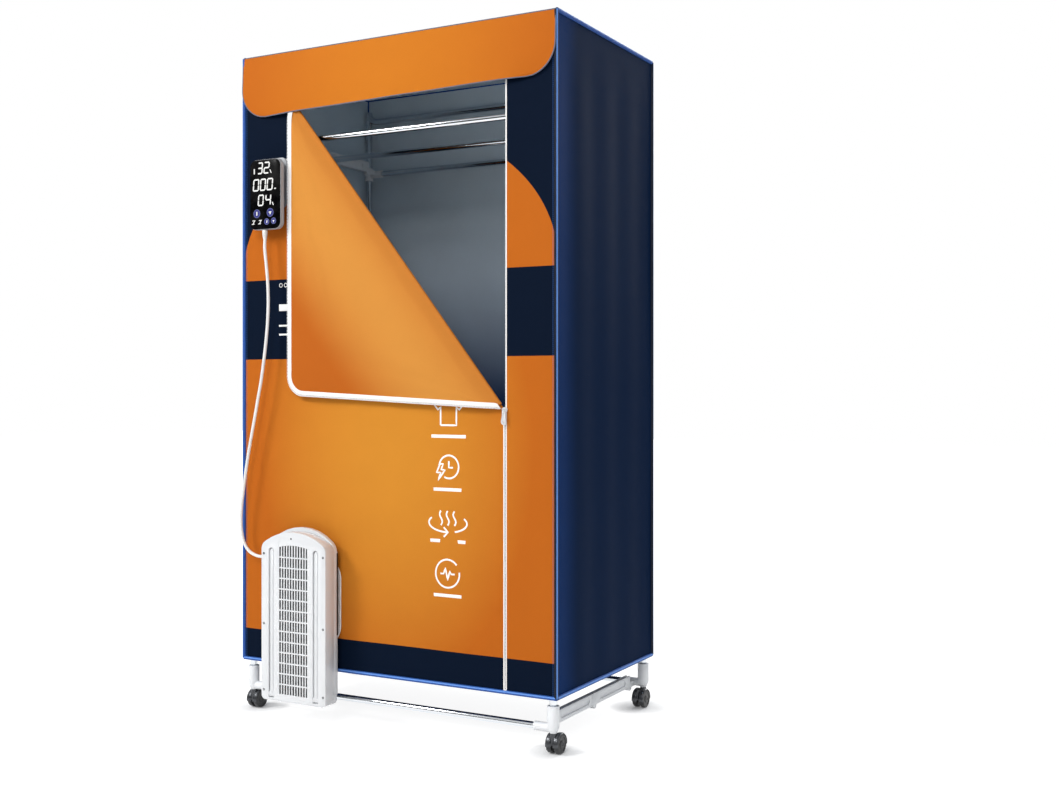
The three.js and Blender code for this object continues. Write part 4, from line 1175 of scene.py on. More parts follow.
def line(points: Iterable[Point], gap: float = 0.02) -> list[Vector]:
    """Fill a broken line with points so that none is further than a gap from the next.

    Args:
        points: The corners.
        gap: The widest gap.

    Returns:
        The filled line.
    """
    corners = [Vector(p) for p in points]
    filled = [corners[0]]
    for a, b in zip(corners, corners[1:]):
        steps = max(1, math.ceil((b - a).length / gap))
        filled.extend(a.lerp(b, k / steps) for k in range(1, steps + 1))
    return filled


def arc(
    centre: Point, radius: float, start: float, stop: float, axes: tuple[Point, Point], steps: int
) -> list[Vector]:
    """Draw an arc.

    Args:
        centre: Its centre.
        radius: Its radius.
        start: First angle in degrees, from the first axis to the second.
        stop: Last angle in degrees.
        axes: The two unit axes of its plane.
        steps: Its steps.

    Returns:
        The arc's points.
    """
    first, second = Vector(axes[0]), Vector(axes[1])
    points = []
    for step in range(steps + 1):
        angle = math.radians(start + (stop - start) * step / steps)
        points.append(
            Vector(centre) + first * (radius * math.cos(angle)) + second * (radius * math.sin(angle))
        )
    return points


class Bench:
    """Finishes pieces: names, dresses, smooths and hangs each on its body, and reports it."""

    def __init__(self, palette: Palette) -> None:
        """Start with a palette."""
        self.palette = palette

    def finish(
        self,
        piece: bpy.types.Object,
        name: str,
        finish: Finish,
        body: str,
        slot: str,
        replaces: Sequence[str] = (),
        angle: float = 38.0,
    ) -> bpy.types.Object:
        """Finish one piece.

        Args:
            piece: The object.
            name: Its name.
            finish: Its finish.
            body: The body that it rides on.
            slot: The record's material slot; not used.
            replaces: The CAD nodes that it stands for.
            angle: Edges sharper than this stay sharp, in degrees.

        Returns:
            The object.
        """
        piece.name = name
        piece.data.name = name
        piece.data.materials.clear()
        piece.data.materials.append(self.palette.get(finish))
        pick(piece)
        bpy.ops.object.transform_apply(location=True, rotation=True, scale=True)
        bpy.ops.object.shade_smooth_by_angle(angle=math.radians(angle))
        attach(piece, body)
        if replaces:
            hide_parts(*replaces)
        LOG.info("%s: %d faces on %s", name, len(piece.data.polygons), body)
        return piece

    def refine(
        self,
        node: str,
        finish: Finish,
        slot: str,
        width: float = 0.0006,
        segments: int = 2,
        angle: float = 38.0,
    ) -> bpy.types.Object:
        """Make a softened copy of a CAD node and show it in the node's place.

        Args:
            node: The node.
            finish: Its finish.
            slot: The record's material slot.
            width: The width of the rounded edges.
            segments: Their segments.
            angle: Edges sharper than this are rounded, in degrees.

        Returns:
            The copy.
        """
        source = frame["nodes"][node]
        copy = bpy.data.objects.new(node + "_fine", source.data.copy())
        bpy.context.scene.collection.objects.link(copy)
        pick(copy)
        bpy.ops.object.mode_set(mode="EDIT")
        bpy.ops.mesh.select_all(action="SELECT")
        bpy.ops.mesh.remove_doubles(threshold=0.00002)
        bpy.ops.mesh.dissolve_limited(angle_limit=math.radians(1.0))
        leave_edit()
        soften(copy, width, segments, angle)
        return self.finish(copy, node + "_fine", finish, source["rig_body"], slot, [node], angle)


def hollow_end(piece: bpy.types.Object, axis: str, sign: int, wall: float, depth: float) -> None:
    """Open one end of a rod so that it shows as a tube.

    Args:
        piece: The rod.
        axis: Its axis.
        sign: 1 for the high end, -1 for the low end.
        wall: The tube's wall.
        depth: How deep the bore is shown.
    """
    index = "XYZ".index(axis)
    edit_select(piece, "FACE", lambda face: face.normal[index] * sign > 0.9)
    bpy.ops.mesh.inset(thickness=wall)
    move = [0.0, 0.0, 0.0]
    move[index] = -sign * depth
    bpy.ops.mesh.extrude_region_move(TRANSFORM_OT_translate={"value": move})
    leave_edit()


def duplicate(piece: bpy.types.Object, matrix: Matrix) -> bpy.types.Object:
    """Copy a piece with its own mesh and move the copy.

    Args:
        piece: The piece.
        matrix: The move.

    Returns:
        The copy, its place in its mesh.
    """
    copy = bpy.data.objects.new(piece.name, piece.data.copy())
    bpy.context.scene.collection.objects.link(copy)
    copy.data.transform(matrix)
    if matrix.determinant() < 0:
        copy.data.flip_normals()
    return copy


def plates(outlines: Sequence[Sequence[Pair]], front: float, back: float) -> bpy.types.Object:
    """Extrude many outlines at once between two planes of Y.

    Args:
        outlines: The outlines in X and Z.
        front: Y of the front faces.
        back: Y of the back faces.

    Returns:
        The object.
    """
    points: list[Point] = []
    faces: list[list[int]] = []
    for outline in outlines:
        faces.append(list(range(len(points), len(points) + len(outline))))
        points.extend((x, front, z) for x, z in outline)
    mesh = bpy.data.meshes.new("plates")
    mesh.from_pydata(points, [], faces)
    made = bpy.data.objects.new("plates", mesh)
    bpy.context.scene.collection.objects.link(made)
    pick(made)
    bpy.ops.object.mode_set(mode="EDIT")
    bpy.ops.mesh.select_all(action="SELECT")
    bpy.ops.mesh.extrude_region_move(TRANSFORM_OT_translate={"value": (0, back - front, 0)})
    bpy.ops.mesh.select_all(action="SELECT")
    bpy.ops.mesh.normals_make_consistent(inside=False)
    leave_edit()
    return made


class Skin:
    """Finds the front surface of a piece, for what is laid on it."""

    def __init__(self, piece: bpy.types.Object) -> None:
        """Read the piece's surface."""
        self.tree = BVHTree.FromObject(piece, bpy.context.evaluated_depsgraph_get())

    def lay(self, x: float, z: float, lift: float, fallback: float) -> Vector:
        """Put a point of the front view on the surface."""
        hit = self.tree.ray_cast(Vector((x, -1.0, z)), Vector((0.0, 1.0, 0.0)))[0]
        return Vector((x, (hit.y if hit else fallback) - lift, z))


# ------------------------------------------------------------------ studio


@dataclass
class Studio:
    """The camera, the pale floor and the soft lamps."""

    camera_at: Point = (1.5521, -2.4157, 0.7293)
    azimuth: float = 28.767
    lens: float = 42.99
    shift: float = -0.00913
    floor_half: float = 14.0
    floor_glow: float = 1.5
    near_share: float = 0.60
    fade_middle: float = 1.3
    fade_width: float = 1.3
    caster_x: float = 0.385
    caster_y: Pair = (0.03, 0.2095)
    caster_shadow_reach: float = 0.075
    mirror_reach: float = 3.4
    horizon: float = 0.30
    zenith: float = 0.85

    def build(self) -> None:
        """Build the whole studio."""
        self._camera()
        self._floor()
        self._world()
        self._lamp("left", (-2.4, -3.0, 3.3), (0.0, 0.0, 0.7), 1.3, 112.0)
        self._lamp("right", (1.0, -3.9, 3.2), (0.0, 0.0, 0.7), 1.3, 70.0)
        self._lamp("back", (0.5, 3.6, 2.6), (0.0, 0.0, 0.7), 2.6, 82.0)
        bpy.context.scene.view_settings.view_transform = "Standard"

    def _camera(self) -> None:
        """Stand the camera where the photographer stood, level."""
        clear_selection()
        turn = (math.pi / 2, 0.0, math.radians(self.azimuth))
        bpy.ops.object.camera_add(location=self.camera_at, rotation=turn)
        camera = bpy.context.active_object
        camera.data.lens = self.lens
        camera.data.sensor_width = 36.0
        camera.data.shift_y = self.shift
        camera.data.clip_end = 60.0
        bpy.context.scene.camera = camera

    def _floor(self) -> None:
        """Lay the floor, which shows white away from the object's shadow and darker round the four caster
        places, a painted shadow under the casters.
        """
        clear_selection()
        bpy.ops.mesh.primitive_plane_add(size=2 * self.floor_half, location=(0.0, 0.0, -0.0006))
        floor = bpy.context.active_object
        floor.name = "studio_floor"
        material = bpy.data.materials.new("studio_floor")
        material.use_nodes = True
        w = Wiring(material.node_tree)
        shader = material.node_tree.nodes["Principled BSDF"]
        shader.inputs["Base Color"].default_value = (0.95, 0.95, 0.95, 1.0)
        shader.inputs["Roughness"].default_value = 0.9
        shader.inputs["Specular IOR Level"].default_value = 0.1
        glow = w.node("ShaderNodeEmission")
        glow.inputs["Strength"].default_value = self.floor_glow
        x, y, _ = w.axes(w.node("ShaderNodeTexCoord").outputs["Object"])
        far = w.math("SQRT", w.math("ADD", w.math("MULTIPLY", x, x), w.math("MULTIPLY", y, y)))
        white = w.above(far, self.fade_middle, self.fade_width)
        # Round the four caster places the white share is cut, so the floor shows darker there: a painted
        # shadow under the casters.
        across = w.math("SUBTRACT", w.math("ABSOLUTE", x), self.caster_x)
        deep = w.math(
            "SUBTRACT", w.math("ABSOLUTE", w.math("SUBTRACT", y, self.caster_y[0])), self.caster_y[1]
        )
        gap = w.math("ADD", w.math("MULTIPLY", across, across), w.math("MULTIPLY", deep, deep))
        under = w.math("SUBTRACT", 1.0, w.math("DIVIDE", gap, self.caster_shadow_reach**2), clamp=True)
        path = w.node("ShaderNodeLightPath")
        mirrored = path.outputs["Is Glossy Ray"]
        seen = w.math("MAXIMUM", path.outputs["Is Camera Ray"], mirrored)
        share = w.math(
            "MULTIPLY", seen, w.math("MULTIPLY_ADD", white, 1.0 - self.near_share, self.near_share)
        )
        share = w.math("MULTIPLY", share, w.math("MULTIPLY_ADD", under, -0.97, 1.0))
        blend = w.node("ShaderNodeMixShader")
        w.feed(blend.inputs[0], share)
        w.feed(blend.inputs[1], shader.outputs[0])
        w.feed(blend.inputs[2], glow.outputs[0])
        dusk = w.node("ShaderNodeEmission")
        dusk.inputs["Strength"].default_value = 0.05
        last = w.node("ShaderNodeMixShader")
        w.feed(last.inputs[0], w.math("MULTIPLY", mirrored, w.above(far, self.mirror_reach, 1.2)))
        w.feed(last.inputs[1], blend.outputs[0])
        w.feed(last.inputs[2], dusk.outputs[0])
        w.feed(material.node_tree.nodes["Material Output"].inputs[0], last.outputs[0])
        floor.data.materials.append(material)

    def _world(self) -> None:
        """Light the room evenly and show it white to the camera."""
        world = bpy.data.worlds.new("studio")
        world.use_nodes = True
        bpy.context.scene.world = world
        w = Wiring(world.node_tree)
        room = world.node_tree.nodes["Background"]
        room.inputs["Color"].default_value = (0.96, 0.98, 1.0, 1.0)
        room.inputs["Strength"].default_value = 0.54
        white = w.node("ShaderNodeBackground")
        white.inputs["Color"].default_value = (1.0, 1.0, 1.0, 1.0)
        path = w.node("ShaderNodeLightPath")
        blend = w.node("ShaderNodeMixShader")
        w.feed(
            blend.inputs[0],
            w.math("MAXIMUM", path.outputs["Is Camera Ray"], path.outputs["Is Transmission Ray"]),
        )
        w.feed(blend.inputs[1], room.outputs[0])
        w.feed(blend.inputs[2], white.outputs[0])
        mirrored = w.node("ShaderNodeBackground")
        _, _, rise = w.axes(w.node("ShaderNodeTexCoord").outputs["Generated"])
        zenith = w.math("MULTIPLY_ADD", w.above(rise, self.zenith, 0.2), -0.6, 0.85)
        w.feed(
            mirrored.inputs["Strength"],
            w.math("MULTIPLY_ADD", w.above(rise, self.horizon, 0.2), zenith, 0.05),
        )
        last = w.node("ShaderNodeMixShader")
        w.feed(last.inputs[0], path.outputs["Is Glossy Ray"])
        w.feed(last.inputs[1], blend.outputs[0])
        w.feed(last.inputs[2], mirrored.outputs[0])
        w.feed(world.node_tree.nodes["World Output"].inputs[0], last.outputs[0])

    @staticmethod
    def _lamp(name: str, place: Point, target: Point, size: float, power: float) -> None:
        """Hang one square soft box.

        Args:
            name: The lamp's name.
            place: Where it hangs.
            target: Where it points.
            size: Its side.
            power: Its power in watts.
        """
        clear_selection()
        turn = (Vector(target) - Vector(place)).to_track_quat("-Z", "Y").to_euler()
        bpy.ops.object.light_add(type="AREA", location=place, rotation=turn)
        lamp = bpy.context.active_object
        lamp.name = name
        lamp.data.size = size
        lamp.data.energy = power


# ------------------------------------------------------------------ cord


@dataclass
class ControlCord:
    """The white cord from the controller down to the host, and its strain relief."""

    diameter: float = 0.007
    relief_bottom: float = 1.0577
    relief_length: float = 0.021
    relief_top_radius: float = 0.006
    plane_back: float = SIZES.front
    samples: int = 8

    def route(self) -> list[Vector]:
        """Repeat the route's points, in metres.

        Returns:
            The points from the controller to the host.
        """
        start = (-0.316, -0.0272, self.relief_bottom - 0.0003)
        run = [
            (
                -0.3155, -0.0285, 1.040
            ), (-0.311, -0.0285, 1.001), (-0.3065, -0.029, 0.962), (-0.305, -0.029, 0.922),
            (
                -0.3065, -0.029, 0.880
            ), (-0.311, -0.029, 0.834), (-0.3175, -0.029, 0.790), (-0.325, -0.029, 0.746),
            (-0.335, -0.029, 0.701), (-0.345, -0.029, 0.656), (
                -0.3545, -0.0285, 0.617
            ), (-0.363, -0.0285, 0.578),
            (-0.371, -0.028, 0.538), (
                -0.378, -0.0275, 0.499
            ), (-0.3835, -0.027, 0.464), (-0.386, -0.0265, 0.431),
            (-0.384, -0.026, 0.402), (
                -0.3765, -0.0255, 0.378
            ), (-0.362, -0.025, 0.3615), (-0.343, -0.025, 0.3538),
            (-0.325, -0.025, 0.352), (-0.3058, -0.025, 0.352),
        ]
        return [Vector((x, y + self.plane_back, z)) for x, y, z in [start, *run]]

    def smooth_route(self) -> list[Vector]:
        """Draw a centripetal curve through the route.

        Returns:
            The curve's points.
        """
        points = self.route()
        padded = [points[0] * 2 - points[1], *points, points[-1] * 2 - points[-2]]
        curve = [points[0]]
        for p0, p1, p2, p3 in zip(padded, padded[1:], padded[2:], padded[3:]):
            t1 = (p1 - p0).length ** 0.5
            t2 = t1 + (p2 - p1).length ** 0.5
            t3 = t2 + (p3 - p2).length ** 0.5
            for step in range(1, self.samples + 1):
                t = t1 + (t2 - t1) * step / self.samples
                a1 = p0.lerp(p1, t / t1)
                a2 = p1.lerp(p2, (t - t1) / (t2 - t1))
                a3 = p2.lerp(p3, (t - t2) / (t3 - t2))
                b1 = a1.lerp(a2, t / t2)
                b2 = a2.lerp(a3, (t - t1) / (t3 - t1))
                curve.append(b1.lerp(b2, (t - t1) / (t2 - t1)))
        return curve

    def _relief(self) -> bpy.types.Object:
        """Turn the ribbed sleeve on its axis.

        Returns:
            The sleeve.
        """
        end = self.diameter / 2 + 0.0006
        stations = [(0.0, end - 0.0005), (0.0004, end)]
        for rib in range(6):
            low = 0.003 + rib * 0.0026
            grow = 0.0003 * rib
            stations += [
                (low, end + grow),
                (low + 0.0003, end + 0.0008 + grow),
                (low + 0.0014, end + 0.0008 + grow),
                (low + 0.0017, end + 0.0001 + grow),
            ]
        stations += [
            (self.relief_length - 0.0012, self.relief_top_radius),
            (self.relief_length, self.relief_top_radius - 0.0006),
        ]
        axis = self.route()[0]
        return lathe(stations, "Z", (axis.x, axis.y, self.relief_bottom), 32)

    def build(self, bench: Bench) -> None:
        """Build the cord and its relief.

        Args:
            bench: The bench.
        """
        relief = bench.finish(
            self._relief(), "cord_relief", Finish.CORD, "front_frame", "cord_white", ["strain_relief"]
        )
        curve = self.smooth_route()
        made = sweep("control_cord", curve, circle(self.diameter / 2, 16))
        bench.finish(made, "control_cord", Finish.CORD, "front_frame", "cord_white", ["cord"], 60.0)


# ------------------------------------------------------------------ cloth cover


@dataclass
class FrontPanel:
    """The printed front with the open corner of the door, the zip slit, the port and the window."""

    columns: int = 92
    rows: int = 156
    swell: float = 0.0011
    reach: float = 0.05

    def calm(self, x: float, z: float) -> float:
        """Give how free the cloth is to wave: 0 beside what is sewn or laid on it.

        Args:
            x: The place across.
            z: The place up.

        Returns:
            A share from 0 to 1.
        """
        s = SIZES
        gaps = [s.half_width - abs(x), z - s.hem, s.top - 0.14 - z, abs(x - s.zip_x) - 0.01]
        port_low = (s.host_x - s.port_half[0], s.port_z - s.port_half[1])
        port_high = (s.host_x + s.port_half[0], s.port_z + s.port_half[1])
        seam = 0.012
        for low, high in ((port_low, port_high), (s.window_low, s.window_high)):
            dx = max(low[0] - seam - x, x - high[0] - seam, 0.0)
            dz = max(low[1] - seam - z, z - high[1] - seam, 0.0)
            gaps.append(math.hypot(dx, dz))
        slope = (s.zip_top - s.slider_z) / (s.slit_left - s.fold_left)
        fold = s.zip_top - slope * (x - s.fold_left)
        if s.fold_left - 0.02 < x < s.strip_left:
            gaps.append(max(abs(z - fold) / math.hypot(1.0, slope), 0.0))
        return smooth_step(min(gaps) / self.reach)

    def depth(self, x: float, z: float) -> float:
        """Give Y of the middle of the cloth.

        Args:
            x: The place across.
            z: The place up.

        Returns:
            Y.
        """
        wave = 0.6 * math.sin(2 * math.pi * (x / 0.27 + 0.10 * math.sin(4.2 * z))) + 0.4 * math.sin(
            2 * math.pi * (x + 0.42 * z) / 0.41
        )
        return SIZES.front + 0.001 + self.swell * wave * self.calm(x, z)

    def _cutters(self) -> list[list[Pair]]:
        """List the outlines that are cut out.

        Returns:
            The outlines.
        """
        s = SIZES
        door = [
            (s.fold_left, s.zip_top),
            (s.slit_left, s.slider_z),
            (s.slit_left, s.hem - 0.01),
            (s.strip_left, s.hem - 0.01),
            (s.strip_left, s.zip_top),
        ]
        low = (s.host_x - s.port_half[0], s.port_z - s.port_half[1])
        high = (s.host_x + s.port_half[0], s.port_z + s.port_half[1])
        port = rounded_outline(low, high, s.port_corner, 12)
        window = rounded_outline(s.window_low, s.window_high, s.window_corner, 8)
        return [door, port, window]

    def build(self, bench: Bench) -> bpy.types.Object:
        """Build the panel.

        Args:
            bench: The bench.

        Returns:
            The panel.
        """
        s = SIZES
        clear_selection()
        bpy.ops.mesh.primitive_grid_add(
            x_subdivisions=self.columns, y_subdivisions=self.rows, size=1.0, rotation=(math.pi / 2, 0.0, 0.0)
        )
        panel = bpy.context.active_object
        panel.scale = (2 * s.half_width, s.top - s.hem, 1.0)
        panel.location = (0.0, s.front + 0.001, (s.top + s.hem) / 2)
        bpy.ops.object.transform_apply(location=True, rotation=True, scale=True)
        modify(panel, "SOLIDIFY", thickness=s.cloth, offset=0.0)
        for outline in self._cutters():
            unite(panel, plate(outline, s.front - 0.02, s.front + 0.02), "DIFFERENCE")
        for vertex in panel.data.vertices:
            x, y, z = vertex.co
            vertex.co.y = y - (s.front + 0.001) + self.depth(x, z)
        bench.finish(panel, "front_cloth", Finish.PRINT, "front_frame", "printed_cloth", ["cover_front"])
        return panel


@dataclass
class Shell:
    """The navy sides, back, roof and floor cloth."""

    pleats: int = 4
    pleat_depth: float = 0.0028
    sag: float = 0.006

    def _side(self, sign: int) -> Callable[[float, float], Point]:
        """Give the function of one side.

        Args:
            sign: 1 on the right, -1 on the left.

        Returns:
            The function.
        """
        s = SIZES

        def place(across: float, up: float) -> Point:
            """Put a point of the side in its pleats."""
            y = s.front + 0.0023 + 0.4704 * (across if sign > 0 else 1 - across)
            z = s.hem + (s.top - s.hem) * up
            held = smooth_step((s.top - z) / 0.16) * (0.55 + 0.45 * smooth_step((z - s.hem) / 0.1))
            share = (y - s.front) / (s.rear - s.front)
            fold = self.pleat_depth * (0.5 - 0.5 * math.cos(2 * math.pi * self.pleats * share))
            slow = 0.0006 * math.sin(9 * z + 5 * share)
            return (sign * (s.half_width - 0.0008 - (fold + slow + 0.0006) * held), y, z)

        return place

    def _back(self, across: float, up: float) -> Point:
        """Put a point of the back in its slow waves."""
        s = SIZES
        x = s.half_width * (1 - 2 * across)
        z = s.hem + (s.top - s.hem) * up
        held = smooth_step((s.half_width - abs(x)) / 0.06) * smooth_step((s.top - z) / 0.08)
        wave = math.sin(2 * math.pi * (x / 0.31 + 0.08 * math.sin(5 * z))) + 0.4 * math.sin(17 * x + 6 * z)
        return (x, s.rear - 0.001 + 0.0012 * wave * held, z)

    def _roof(self, across: float, along: float) -> Point:
        """Put a point of the roof between its two rails."""
        s = SIZES
        x = -0.3985 + 0.797 * across
        y = s.front + 0.0023 + 0.4704 * along
        dip = self.sag * math.sin(math.pi * along) ** 1.5 * (1 - (x / 0.41) ** 4)
        return (x, y, s.top - 0.001 - dip)

    def _floor(self, across: float, along: float) -> Point:
        """Put a point of the floor cloth."""
        s = SIZES
        x = -0.352 + 0.704 * across
        y = s.front + 0.0023 + 0.4704 * along
        dip = 0.0025 * math.sin(math.pi * along) * math.sin(math.pi * across)
        return (x, y, s.hem + 0.005 - dip)

    def build(self, bench: Bench) -> None:
        """Build the five cloths.

        Args:
            bench: The bench.
        """
        s = SIZES
        for sign, side in ((-1, "left"), (1, "right")):
            cloth = cloth_grid(f"side_cloth_{side}", 48, 60, self._side(sign), s.cloth)
            bench.finish(
                cloth, f"side_cloth_{side}", Finish.NAVY_SIDE, "front_frame", "navy_cloth", [f"cover_{side}"]
            )
            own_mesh(cloth)
        for name, place, node in (
            ("roof_cloth", self._roof, "cover_roof"), ("floor_cloth", self._floor, "cover_floor")
        ):
            cloth = cloth_grid(name, 48, 30, place, s.cloth)
            bench.finish(cloth, name, Finish.NAVY_LEVEL, "front_frame", "navy_cloth", [node])
            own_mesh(cloth)
        back = cloth_grid("back_cloth", 64, 90, self._back, s.cloth)
        bench.finish(back, "back_cloth", Finish.NAVY_BACK, "rear_frame", "navy_cloth", ["cover_back"])


@dataclass
class Valance:
    """The valance over the top of the front, with its grey edge."""

    height: float = 0.132
    corner: float = 0.065
    flare: float = 0.0105
    hug: float = 0.6
    tilt: float = 0.014
    edge_radius: float = 0.0015

    def place(self, across: float, up: float) -> Point:
        """Put a point of the valance.

        Args:
            across: The share across.
            up: The share from its lower edge.

        Returns:
            The point.
        """
        s = SIZES
        fall = self.height - self.tilt * s.half_width * (2 * across - 1)
        bottom = s.top - fall
        z = bottom + fall * up * (0.35 + 0.65 * up)
        inside = max(0.0, self.corner - (z - bottom))
        draw = self.corner - math.sqrt(max(self.corner**2 - inside**2, 0.0))
        half = s.half_width - draw
        level = (z - bottom) / fall
        x = -half + 2 * half * across
        hug = 1 - self.hug * (2 * across - 1) ** 8
        wave = math.sin(2 * math.pi * (x / 0.23 + 0.2)) + 0.5 * math.sin(2 * math.pi * x / 0.137)
        y = s.front - 0.0013 - self.flare * hug * (1 - level**2) - 0.0009 * wave * (1 - level)
        return (x, y, z)

    def build(self, bench: Bench) -> None:
        """Build the valance and its piping.

        Args:
            bench: The bench.
        """
        cloth = cloth_grid("valance_cloth", 96, 20, self.place, 0.0016)
        bench.finish(cloth, "valance_cloth", Finish.ORANGE, "front_frame", "orange_cloth", ["valance"])
        left = [Vector(self.place(0.0, 1 - k / 40)) for k in range(40)]
        low = [Vector(self.place(k / 90, 0.0)) for k in range(91)]
        right = [Vector(self.place(1.0, k / 40)) for k in range(1, 41)]
        top = [Vector(self.place(1 - k / 90, 1.0)) for k in range(1, 90)]
        edge = sweep(
            "valance_edge", left + low + right + top, circle(self.edge_radius, 8), FRONTWARD, True
        )
        bench.finish(edge, "valance_edge", Finish.VALANCE_EDGE, "front_frame", "white_tape", angle=60.0)


@dataclass
class DoorFlap:
    """The unzipped corner of the door, folded down over a soft roll, with its half of the zip."""

    corner_z: float = 0.712
    corner: float = 0.042
    roll: float = 0.0032
    stand_off: float = 0.012
    belly: float = 0.007
    side_inset: float = 0.007
    tape_width: float = 0.0102
    tooth_pitch: float = 0.0032

    def edge(self, along: float) -> Vector:
        """Give the free edge: down the left side, round the corner and along the bottom.

        Args:
            along: The share along the edge.

        Returns:
            The point in X and Z.
        """
        s = SIZES
        side = s.zip_top - self.corner_z - self.corner
        bend = math.pi / 2 * self.corner
        bottom = s.slit_left - s.fold_left - self.side_inset - self.corner
        run = along * (side + bend + bottom)
        if run < side:
            return Vector((s.fold_left + self.side_inset, s.zip_top - run))
        centre = Vector((s.fold_left + self.side_inset + self.corner, self.corner_z + self.corner))
        if run < side + bend:
            angle = math.pi + (run - side) / self.corner
            return centre + self.corner * Vector((math.cos(angle), math.sin(angle)))
        share = (run - side - bend) / bottom
        return Vector((centre.x + bottom * share, self.corner_z - (self.corner_z - s.slider_z) * share))

    def place(self, across: float, along: float) -> Point:
        """Put a point of the flap.

        Args:
            across: The share from the roll to the free edge.
            along: The share along the fold.

        Returns:
            The point.
        """
        s = SIZES
        v = 0.010 + 0.980 * along
        top, low = Vector((s.fold_left, s.zip_top)), Vector((s.slit_left, s.slider_z))
        fold = top.lerp(low, v)
        slope = (low - top).normalized()
        outward = Vector((-slope.y, slope.x))
        if outward.x < 0:
            outward = -outward
        bend = 0.10
        if across < bend:
            angle = math.pi * across / bend
            spot = fold + outward * (self.roll * math.sin(angle))
            y = s.front + 0.0006 - self.roll * (1 - math.cos(angle))
            return (spot.x, y, spot.y)
        u = ((across - bend) / (1 - bend)) ** 1.35
        spot = fold.lerp(self.edge(v), u)
        rest = smooth_step((spot - fold).length / 0.03)
        calm = math.sin(math.pi * u) * math.sin(math.pi * v)
        ripple = 0.0008 * math.sin(26 * u + 9 * v) * calm
        back = s.front + 0.0006 - 2 * self.roll
        return (
            spot.x,
            back - rest * (self.stand_off + 0.0016 - 2 * self.roll) - self.belly * calm - ripple,
            spot.y,
        )

    def _inset_edge(
        self, inset: float, start: float = 0.012, stop: float = 0.9975, steps: int = 150
    ) -> list[Pair]:
        """Draw a line at an inset from the free edge.

        Args:
            inset: The inset.
            start: First share along the edge.
            stop: Last share.
            steps: Its steps.

        Returns:
            The line in X and Z.
        """
        line_points = []
        for k in range(steps + 1):
            v = start + (stop - start) * k / steps
            ahead = (self.edge(min(v + 0.002, 1.0)) - self.edge(max(v - 0.002, 0.0))).normalized()
            inward = Vector((-ahead.y, ahead.x))
            spot = self.edge(v) + inward * inset
            line_points.append((spot.x, spot.y))
        return line_points

    def _lay(self, skin: Skin, points: Sequence[Pair], lift: float) -> list[Vector]:
        """Lay a line on the flap; past the cloth it keeps the depth that it had.

        Args:
            skin: The flap's surface.
            points: The line in X and Z.
            lift: How far it stands in front of the cloth.

        Returns:
            The line.
        """
        laid: list[Vector] = []
        depth = SIZES.front - 0.0062
        for x, z in points:
            laid.append(skin.lay(x, z, lift, depth + lift))
            depth = laid[-1].y
        return laid

    def _trim(self, piece: bpy.types.Object) -> None:
        """Draw back to the fold what reaches past it.

        Args:
            piece: The tape.
        """
        s = SIZES
        aside, down = 0.0012, 0.001
        top, low = Vector((s.fold_left, s.zip_top)), Vector((s.slit_left - aside, s.slider_z - down))
        slope = (low - top).normalized()
        outward = Vector((-slope.y, slope.x))
        for vertex in piece.data.vertices:
            past = (Vector((vertex.co.x, vertex.co.z)) - low).dot(outward)
            if past > 0.0:
                vertex.co.x -= past * outward.x
                vertex.co.z -= past * outward.y

    def build(self, bench: Bench) -> None:
        """Build the flap, its tape and its teeth.

        Args:
            bench: The bench.
        """
        cloth = cloth_grid("flap_cloth", 60, 96, self.place, SIZES.cloth)
        bench.finish(cloth, "flap_cloth", Finish.FLAP, "front_frame", "orange_cloth", ["door_flap"], 60.0)
        skin = Skin(cloth)
        run = self._inset_edge(self.tape_width / 2 - 0.001, stop=1.0)
        run.append((run[-1][0] + 0.002, run[-1][1] - 0.0002))
        tape = sweep(
            "flap_tape",
            self._lay(skin, run, 0.0001),
            strip_profile(self.tape_width, 0.0009),
            FRONTWARD,
        )
        self._trim(tape)
        bench.finish(tape, "flap_tape", Finish.ZIP_TAPE, "front_frame", "white_tape", angle=50.0)
        rim = self._lay(skin, self._inset_edge(0.003), 0.0)
        teeth_line = [Vector((x, near.y, z)) for (x, z), near in zip(self._inset_edge(-0.0015), rim)]
        teeth = tooth_row("flap_teeth", teeth_line, self.tooth_pitch, 0.0028, 0.0018, 0.0020)
        bench.finish(teeth, "flap_teeth", Finish.TEETH, "front_frame", "white_tape", angle=30.0)


